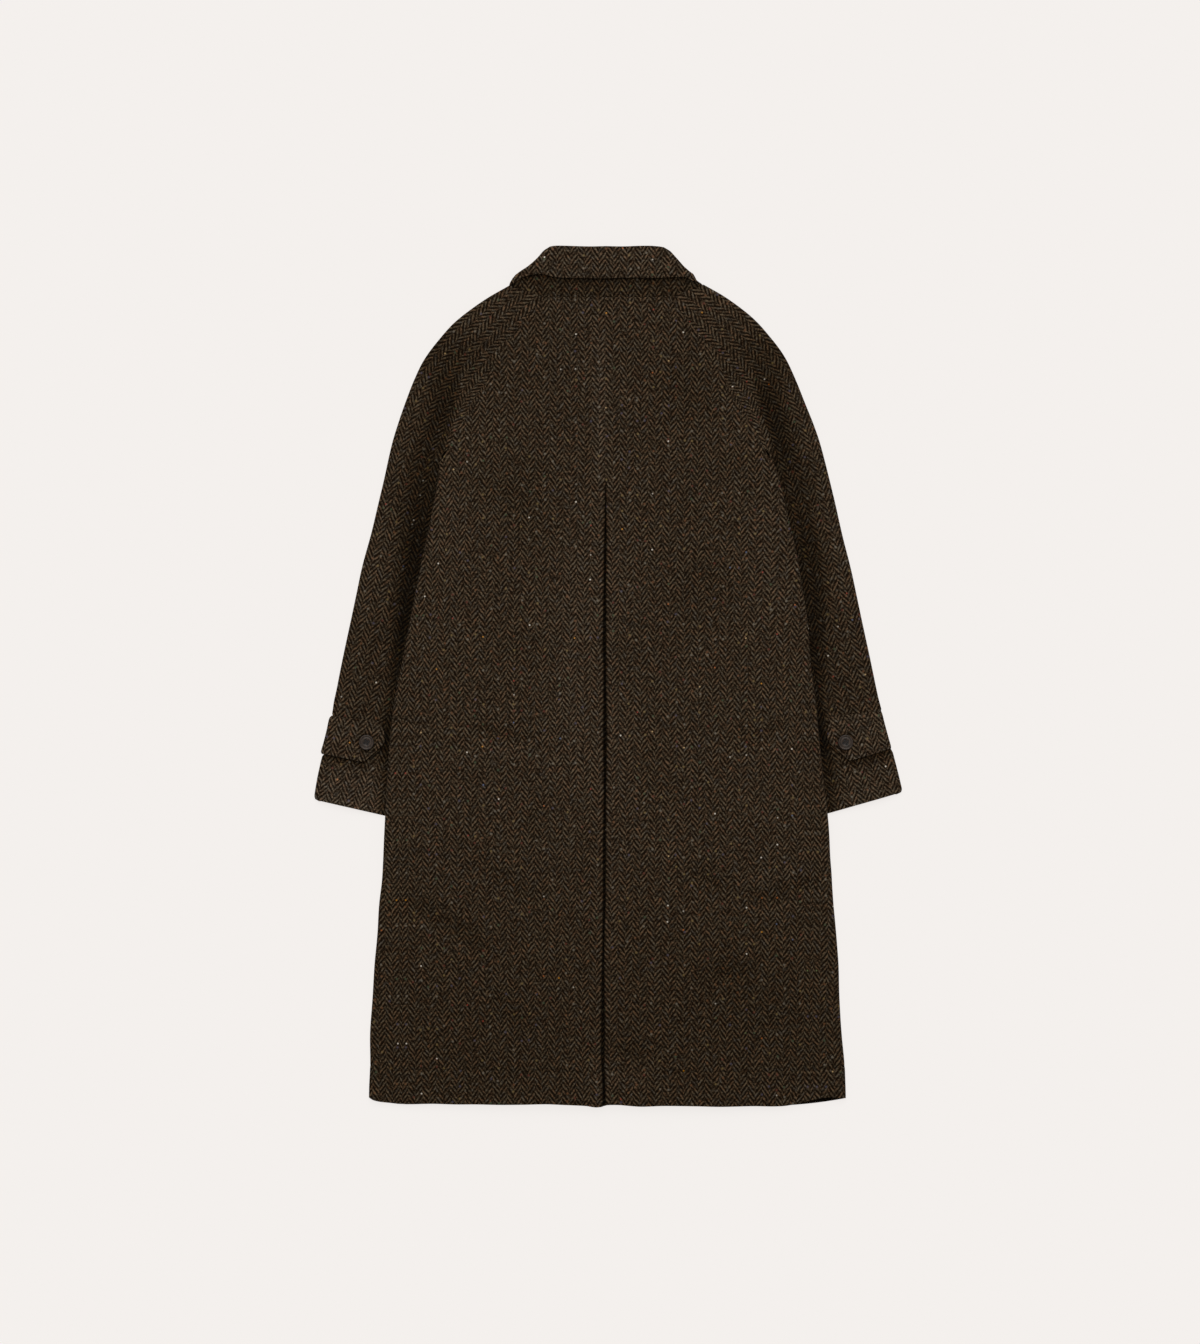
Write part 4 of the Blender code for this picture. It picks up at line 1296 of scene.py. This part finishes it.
def tweed_material():
    """Herringbone wool tweed: matt carded yarn, brown on near black, with flecks and neps of dyed wool.

    The eye gets zigzag stripes that repeat every 19 mm, yarns of uneven tone, and scattered specks. The
    fuzz of single fibres is too fine to show and is drawn at 2.4 mm.
    """
    material, shader = new_material("herringbone wool tweed", {
        "Roughness": 0.95,
        "Specular IOR Level": 0.05,
        "Sheen Weight": 0.02,
        "Sheen Roughness": 0.6,
        "Sheen Tint": linear("#A89684"),
    })
    weave = add_node(material, "UVMap", uv_map="weave")
    soft = {"Detail": 1.0, "Roughness": 0.6}
    wobble = add_node(material, "TexNoise", {"Vector": weave, "Scale": 1 / (WOBBLE_SIZE * MM), **soft},
                      noise_dimensions="2D")
    centred = add_node(material, "VectorMath", {0: wobble.outputs["Color"], 1: (0.5, 0.5, 0.5)},
                       operation="SUBTRACT")
    moved = add_node(material, "VectorMath", {0: centred, 1: (2 * WEAVE_WOBBLE * MM,) * 3, 2: weave},
                     operation="MULTIPLY_ADD")
    place = add_node(material, "SeparateXYZ", {0: moved})
    across, along = place.outputs["X"], place.outputs["Y"]
    stripe = add_node(material, "Math", {0: across, 1: STRIPE * MM}, operation="PINGPONG")
    stripes = add_node(material, "Math", {0: across, 1: STRIPE * MM}, operation="DIVIDE")
    stripe_count = add_node(material, "Math", {0: stripes}, operation="FLOOR")
    slant = add_node(material, "Math", {0: stripe, 1: TWILL_SLOPE, 2: along}, operation="MULTIPLY_ADD")
    twill = add_node(material, "Math", {0: slant, 1: TWILL_PITCH * MM}, operation="DIVIDE")
    lines = add_node(material, "Math", {0: stripe_count, 1: STRIPE_BREAK, 2: twill},
                     operation="MULTIPLY_ADD")
    angle = add_node(material, "Math", {0: lines, 1: 2 * math.pi}, operation="MULTIPLY")
    wave = add_node(material, "Math", {0: angle}, operation="COSINE")

    dashes = add_node(material, "Math", {0: lines, 1: DASHES_TO_A_LINE}, operation="MULTIPLY")
    dash_side = add_node(material, "Math", {0: stripe_count, 1: DASH_STRIPE_STEP, 2: dashes},
                         operation="MULTIPLY_ADD")
    dash_along = add_node(material, "Math", {0: along, 1: DASH_LENGTH * MM}, operation="DIVIDE")
    dash_place = add_node(material, "CombineXYZ", {0: dash_side, 1: dash_along})
    dash = add_node(material, "TexNoise", {"Vector": dash_place, "Scale": 1.0, **soft},
                    noise_dimensions="2D")
    fuzz = add_node(material, "TexNoise", {"Vector": weave, "Scale": 1 / (FUZZ_SIZE * MM), **soft},
                    noise_dimensions="2D")
    level = YARN_MIDDLE - 0.5 * (DASH_WAVE + FUZZ_WAVE)
    lined = add_node(material, "Math", {0: wave, 1: YARN_WAVE, 2: level}, operation="MULTIPLY_ADD")
    dashed = add_node(material, "Math", {0: dash, 1: DASH_WAVE, 2: lined}, operation="MULTIPLY_ADD")
    yarn = add_node(material, "Math", {0: fuzz, 1: FUZZ_WAVE, 2: dashed}, operation="MULTIPLY_ADD",
                    use_clamp=True)
    lit = add_node(material, "Math", {0: yarn, 1: yarn}, operation="MULTIPLY")

    mixed = {"Detail": 2.0, "Roughness": 0.6}
    heather = add_node(material, "TexNoise", {"Vector": dash_place, "Scale": 1 / HEATHER_SPREAD, **mixed},
                       noise_dimensions="2D")
    drawn = add_node(material, "SeparateColor", {0: heather.outputs["Color"]})
    wools = add_node(material, "ValToRGB", {0: drawn.outputs[1]}, WOOLS)
    cloth = add_node(material, "Mix", {0: lit, 6: linear(GROUND), 7: wools}, data_type="RGBA").outputs[2]
    for cell, share, outer, full, strength, speck_wools in SPECKS:
        cells = add_node(material, "TexVoronoi", {"Vector": weave, "Scale": 1 / (cell * MM)},
                         voronoi_dimensions="2D")
        draw = add_node(material, "SeparateColor", {0: cells.outputs["Color"]})
        near = add_node(material, "MapRange", {"Value": cells.outputs["Distance"], "From Min": outer / cell,
                                               "From Max": full / cell, "To Max": strength})
        held = add_node(material, "Math", {0: draw.outputs[0], 1: share}, operation="LESS_THAN")
        speck = add_node(material, "Math", {0: near, 1: held}, operation="MULTIPLY")
        dyes = add_node(material, "ValToRGB", {0: draw.outputs[1]}, speck_wools, flat=True)
        cloth = add_node(material, "Mix", {0: speck, 6: cloth, 7: dyes}, data_type="RGBA").outputs[2]

    # Painted shade and light: the shade attribute scales the cloth's colour, and makes it more saturated
    # where darker and less where lighter
    tone = add_node(material, "Attribute", attribute_name="shade").outputs["Fac"]
    shaded = add_node(material, "VectorMath", {0: cloth, "Scale": tone}, operation="SCALE")
    richness = add_node(material, "Math", {0: tone, 1: -SHADE_RICHNESS, 2: 1 + SHADE_RICHNESS},
                        operation="MULTIPLY_ADD")
    shade_saturated = add_node(material, "HueSaturation", {"Saturation": richness, "Color": shaded})
    material.node_tree.links.new(shade_saturated.outputs[0], shader.inputs["Base Color"])
    bump = add_node(material, "Bump", {"Height": yarn, "Strength": YARN_BUMP, "Distance": YARN_HEIGHT * MM})
    material.node_tree.links.new(bump.outputs[0], shader.inputs["Normal"])
    return material


HORN_STREAK = 1.6
HORN_STREAK_TURN = 0.6
HORN_STREAK_DRAWN = 0.25
HORN_ROUGHNESS = (0.32, 0.5)
HORN_TONES = [(0.3, "#1A1510"), (0.5, "#281F18"), (0.7, "#382D25")]


def horn_material():
    """Polished horn: dense and slightly streaked, grey brown, with a soft gloss on its turned rim."""
    material, shader = new_material("polished dark horn", {"IOR": 1.54, "Specular IOR Level": 0.2})
    place = add_node(material, "TexCoord").outputs["Object"]
    turned = add_node(material, "Mapping", {"Vector": place, "Rotation": (0.0, 0.0, HORN_STREAK_TURN),
                                            "Scale": (1.0, HORN_STREAK_DRAWN, 1.0)})
    streak = add_node(material, "TexNoise", {"Vector": turned, "Scale": 1 / (HORN_STREAK * MM),
                                             "Detail": 4.0})
    tones = add_node(material, "ValToRGB", {0: streak}, HORN_TONES)
    # Painted shade and highlights from the button's shade attribute
    tone = add_node(material, "Attribute", attribute_name="shade").outputs["Fac"]
    shaded = add_node(material, "VectorMath", {0: tones, "Scale": tone}, operation="SCALE")
    material.node_tree.links.new(shaded.outputs[0], shader.inputs["Base Color"])
    gloss = add_node(material, "MapRange", {"Value": streak, "To Min": HORN_ROUGHNESS[0],
                                            "To Max": HORN_ROUGHNESS[1]})
    material.node_tree.links.new(gloss.outputs[0], shader.inputs["Roughness"])
    return material


THREAD_TWIST = 0.5
THREAD_TONES = [(0.35, "#080605"), (0.65, "#120E0B")]


def thread_material():
    """Waxed button thread: twisted dark brown cotton, matt."""
    material, shader = new_material("waxed button thread", {"Roughness": 0.8})
    place = add_node(material, "TexCoord").outputs["Object"]
    twist = add_node(material, "TexNoise", {"Vector": place, "Scale": 1 / (THREAD_TWIST * MM)})
    tones = add_node(material, "ValToRGB", {0: twist}, THREAD_TONES)
    material.node_tree.links.new(tones.outputs[0], shader.inputs["Base Color"])
    return material


PAPER_GLOW = 0.9


def paper_material():
    """Seamless studio paper: pale, matt and lit from behind too, so most of its tone is its own glow."""
    pale = linear("#F4F0ED")
    return new_material("pale studio paper", {
        "Base Color": (*[(1 - PAPER_GLOW) * part for part in pale[:3]], 1.0),
        "Roughness": 1.0,
        "Specular IOR Level": 0.0,
        "Emission Color": pale,
        "Emission Strength": PAPER_GLOW,
    })[0]


def new_piece(name, mesh, material):
    """Put a mesh into the scene with smooth faces and its material."""
    mesh.materials.clear()
    mesh.materials.append(material)
    mesh.shade_smooth()
    mesh.set_sharp_from_angle(angle=SHARP_ANGLE)
    piece = bpy.data.objects.new(name, mesh)
    bpy.context.scene.collection.objects.link(piece)
    return piece


def baked(piece):
    """The piece's mesh with its modifiers applied."""
    graph = bpy.context.evaluated_depsgraph_get()
    return bpy.data.meshes.new_from_object(piece.evaluated_get(graph))


def add_cloth(name, rows, thickness, material):
    """Lay a grid of cloth through rows of (place, across, along, shade) and give it thickness."""
    columns = len(rows[0])
    shape = bmesh.new()
    weave = shape.loops.layers.uv.new("weave")
    # The shade layer carries each point's painted shade and light
    shade = shape.verts.layers.float.new("shade")
    bmesh.ops.create_grid(shape, x_segments=columns - 1, y_segments=len(rows) - 1, size=1.0)
    found = {}
    for vert in shape.verts:
        column = round((vert.co.x + 1) / 2 * (columns - 1))
        row = round((vert.co.y + 1) / 2 * (len(rows) - 1))
        spot, across, along, tone = rows[row][column]
        vert.co = spot * MM
        vert[shade] = tone
        found[vert] = (across * MM, along * MM)
    for face in shape.faces:
        for loop in face.loops:
            loop[weave].uv = found[loop.vert]
    bmesh.ops.remove_doubles(shape, verts=shape.verts, dist=MERGE)
    bmesh.ops.dissolve_degenerate(shape, edges=shape.edges, dist=MERGE)
    mesh = bpy.data.meshes.new(name)
    shape.to_mesh(mesh)
    shape.free()
    piece = new_piece(name, mesh, material)
    wall = piece.modifiers.new("wall", "SOLIDIFY")
    wall.thickness = thickness * MM
    wall.offset = 0.0
    mesh = baked(piece)
    bpy.data.objects.remove(piece)
    return new_piece(name, mesh, material)


def hole_middle(step):
    """Middle of one of the button's holes, from the button's own middle."""
    angle = math.pi * (HOLE_TURN + 2 * step / HOLES)
    return Vector((math.cos(angle), math.sin(angle), 0.0)) * HOLE_CIRCLE


def add_button(name, centre, material):
    """Turned four-hole button with a raised rim and a dished middle."""
    shape = bmesh.new()
    points = [shape.verts.new((radius * MM, 0.0, height * MM)) for radius, height in BUTTON_PROFILE]
    edges = [shape.edges.new(pair) for pair in zip(points, points[1:])]
    bmesh.ops.spin(shape, geom=points + edges, cent=(0, 0, 0), axis=(0, 0, 1), angle=2 * math.pi,
                   steps=BUTTON_STEPS, use_merge=True)
    bmesh.ops.remove_doubles(shape, verts=shape.verts, dist=MERGE)
    bmesh.ops.recalc_face_normals(shape, faces=shape.faces)
    mesh = bpy.data.meshes.new(name)
    shape.to_mesh(mesh)
    shape.free()
    button = new_piece(name, mesh, material)
    drill = bmesh.new()
    for step in range(HOLES):
        hole = bmesh.ops.create_cone(drill, cap_ends=True, segments=HOLE_SIDES, radius1=HOLE_RADIUS * MM,
                                     radius2=HOLE_RADIUS * MM, depth=2 * HOLE_DEPTH * MM)
        bmesh.ops.translate(drill, verts=hole["verts"], vec=hole_middle(step) * MM)
    drill_mesh = bpy.data.meshes.new("drill")
    drill.to_mesh(drill_mesh)
    drill.free()
    cutter = new_piece("drill", drill_mesh, material)
    cut = button.modifiers.new("holes", "BOOLEAN")
    cut.operation = "DIFFERENCE"
    cut.object = cutter
    cut.solver = "EXACT"
    mesh = baked(button)
    bpy.data.objects.remove(button)
    bpy.data.objects.remove(cutter)
    for vert in mesh.vertices:
        vert.co += centre * MM
    return new_piece(name, mesh, material)


def shade_button(piece, centre):
    """Give the button painted shade and highlights: painted shade in its middle, its groove and round its
    edge, and painted highlights on its inner ring and rim.
    """
    tone = piece.data.attributes.new("shade", "FLOAT", "POINT")
    for vert, value in zip(piece.data.vertices, tone.data):
        spot = vert.co / MM - centre
        value.value = read(BUTTON_TONE, math.hypot(spot.x, spot.y), 1)


def thread_ring(shape, angle):
    """Edges of one ring of a stitch, at its angle over from the first hole, 0, to the next, pi."""
    ring = bmesh.ops.create_circle(shape, cap_ends=False, segments=THREAD_SIDES, radius=THREAD_RADIUS)
    ring = ring["verts"]
    way = Vector((0.0, math.sin(angle), math.cos(angle)))
    turn = Vector((0.0, 0.0, 1.0)).rotation_difference(way).to_matrix()
    bmesh.ops.rotate(shape, verts=ring, cent=(0, 0, 0), matrix=turn)
    reach = HOLE_CIRCLE * math.cos(math.pi / 4)
    rise = (THREAD_SINK + THREAD_RISE) * math.sin(angle) - THREAD_SINK
    bmesh.ops.translate(shape, verts=ring, vec=(reach, -reach * math.cos(angle), rise))
    return list({edge for vert in ring for edge in vert.link_edges})


def add_thread(name, centre, material):
    """Button thread: it fills the four holes, and makes two stitches from one to the next."""
    shape = bmesh.new()
    for stitch in range(STITCHES):
        before = thread_ring(shape, 0.0)
        bmesh.ops.contextual_create(shape, geom=before)
        for step in range(1, THREAD_STEPS + 1):
            edges = thread_ring(shape, math.pi * step / THREAD_STEPS)
            bmesh.ops.bridge_loops(shape, edges=before + edges)
            before = edges
        bmesh.ops.contextual_create(shape, geom=before)
        half = Matrix.Rotation(math.pi, 3, "Z")
        bmesh.ops.rotate(shape, verts=shape.verts, cent=(0, 0, 0), matrix=half)
    corner = Matrix.Rotation(math.pi * (HOLE_TURN - 1 / HOLES), 3, "Z")
    bmesh.ops.rotate(shape, verts=shape.verts, cent=(0, 0, 0), matrix=corner)
    # Plugs of near black thread fill the holes, and also stand for the shade down in the holes
    for step in range(HOLES):
        plug = bmesh.ops.create_cone(shape, cap_ends=True, segments=HOLE_SIDES, radius1=PLUG_RADIUS,
                                     radius2=PLUG_RADIUS, depth=PLUG_DEPTH)
        sunk = Vector((0.0, 0.0, -PLUG_SINK - PLUG_DEPTH / 2))
        bmesh.ops.translate(shape, verts=plug["verts"], vec=hole_middle(step) + sunk)
    top = Vector((0.0, 0.0, BUTTON_PROFILE[0][1]))
    bmesh.ops.translate(shape, verts=shape.verts, vec=centre + top)
    bmesh.ops.scale(shape, verts=shape.verts, vec=(MM, MM, MM))
    bmesh.ops.recalc_face_normals(shape, faces=shape.faces)
    mesh = bpy.data.meshes.new(name)
    shape.to_mesh(mesh)
    shape.free()
    return new_piece(name, mesh, material)


TWEED = tweed_material()
HORN = horn_material()
THREAD = thread_material()


def fit(piece, node):
    """A piece of cloth rides on the coat and stands for its node, which is hidden."""
    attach(piece, "root")
    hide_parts(node)


for side, word in ((1, "right"), (-1, "left")):
    rows = [back_row(y, side) for y in heights(BODY_ROWS)]
    fit(add_cloth("cloth_back_" + word, rows, CLOTH, TWEED), "back_" + word)
    rows = [front_row(y, side, 1.0 if side > 0 else 0.0) for y in heights(BODY_ROWS)]
    fit(add_cloth("cloth_front_" + word, rows, CLOTH, TWEED), "front_" + word)
    rows = [sleeve_row(place, side) for place in SLEEVE_PLACES]
    fit(add_cloth("cloth_sleeve_back_" + word, rows, CLOTH, TWEED), "sleeve_back_" + word)
    rows = [front_sleeve_row(place, side) for place in SLEEVE_PLACES]
    fit(add_cloth("cloth_sleeve_front_" + word, rows, CLOTH, TWEED), "sleeve_front_" + word)

    rows = [strap_row(2 * share - 1, side) for share in spread(STRAP_ROWS)]
    strap = add_cloth("cloth_cuff_strap_" + word, rows, STRAP_CLOTH, TWEED)
    seat = strap_level(Vector((BUTTON_X, BUTTON_Y)), side) + STRAP_CLOTH / 2 + BUTTON_SEAT
    centre = Vector((side * BUTTON_X, BUTTON_Y, seat))
    button = add_button("turned_button_" + word, centre, HORN)
    shade_button(button, centre)
    thread = add_thread("button_thread_" + word, centre, THREAD)
    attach(button, "root")
    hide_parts("cuff_button_" + word)
    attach(thread, "root")
    fit(strap, "cuff_strap_" + word)

rows = [underlay_row(y) for y in heights(UNDERLAY_ROWS)]
fit(add_cloth("cloth_pleat_underlay", rows, CLOTH, TWEED), "pleat_underlay")
rows = [stand_row(column) for column in collar_columns()]
fit(add_cloth("cloth_collar_stand", rows, CLOTH, TWEED), "collar_stand")
rows = [fall_row(column) for column in collar_columns()]
fit(add_cloth("cloth_collar_fall", rows, CLOTH, TWEED), "collar_fall")

# Floor
FLOOR_HALF = 40.0
FLOOR_DROP = 0.0002
shape = bmesh.new()
bmesh.ops.create_grid(shape, x_segments=1, y_segments=1, size=FLOOR_HALF)
bmesh.ops.translate(shape, verts=shape.verts, vec=(0, 0, -FLOOR_DROP))
floor_mesh = bpy.data.meshes.new("floor")
shape.to_mesh(floor_mesh)
shape.free()
floor = new_piece("floor", floor_mesh, paper_material())

# Camera, straight above: 1.36 mm of coat to a pixel of the 1200 by 1344 image
PIXEL = 1.36 * MM
IMAGE_HEIGHT = 1344
CAMERA_HEIGHT = 4.2
CAMERA_OFFSET = (-0.0082, 0.0054)
SENSOR_WIDTH = 36.0
camera = bpy.data.objects.new("camera", bpy.data.cameras.new("camera"))
bpy.context.scene.collection.objects.link(camera)
camera.location = (*CAMERA_OFFSET, CAMERA_HEIGHT)
camera.data.sensor_width = SENSOR_WIDTH
camera.data.lens = SENSOR_WIDTH * CAMERA_HEIGHT / (IMAGE_HEIGHT * PIXEL)
bpy.context.scene.camera = camera

# Soft studio light: an even surround, and a broad lamp from beyond the collar
SURROUND = 0.5
LAMP_STRENGTH = 2.05
LAMP_TILT = math.radians(40)
LAMP_SPREAD = math.radians(50)
world = bpy.data.worlds.new("studio surround")
world.use_nodes = True
world.node_tree.nodes["Background"].inputs["Strength"].default_value = SURROUND
world.node_tree.nodes["Background"].inputs["Color"].default_value = (1.0, 1.0, 1.0, 1.0)
bpy.context.scene.world = world
lamp_data = bpy.data.lights.new("broad lamp", "SUN")
lamp_data.energy = LAMP_STRENGTH
lamp_data.angle = LAMP_SPREAD
lamp = bpy.data.objects.new("broad lamp", lamp_data)
lamp.rotation_euler = (-LAMP_TILT, 0.0, 0.0)
bpy.context.scene.collection.objects.link(lamp)
bpy.context.scene.view_settings.view_transform = "Standard"
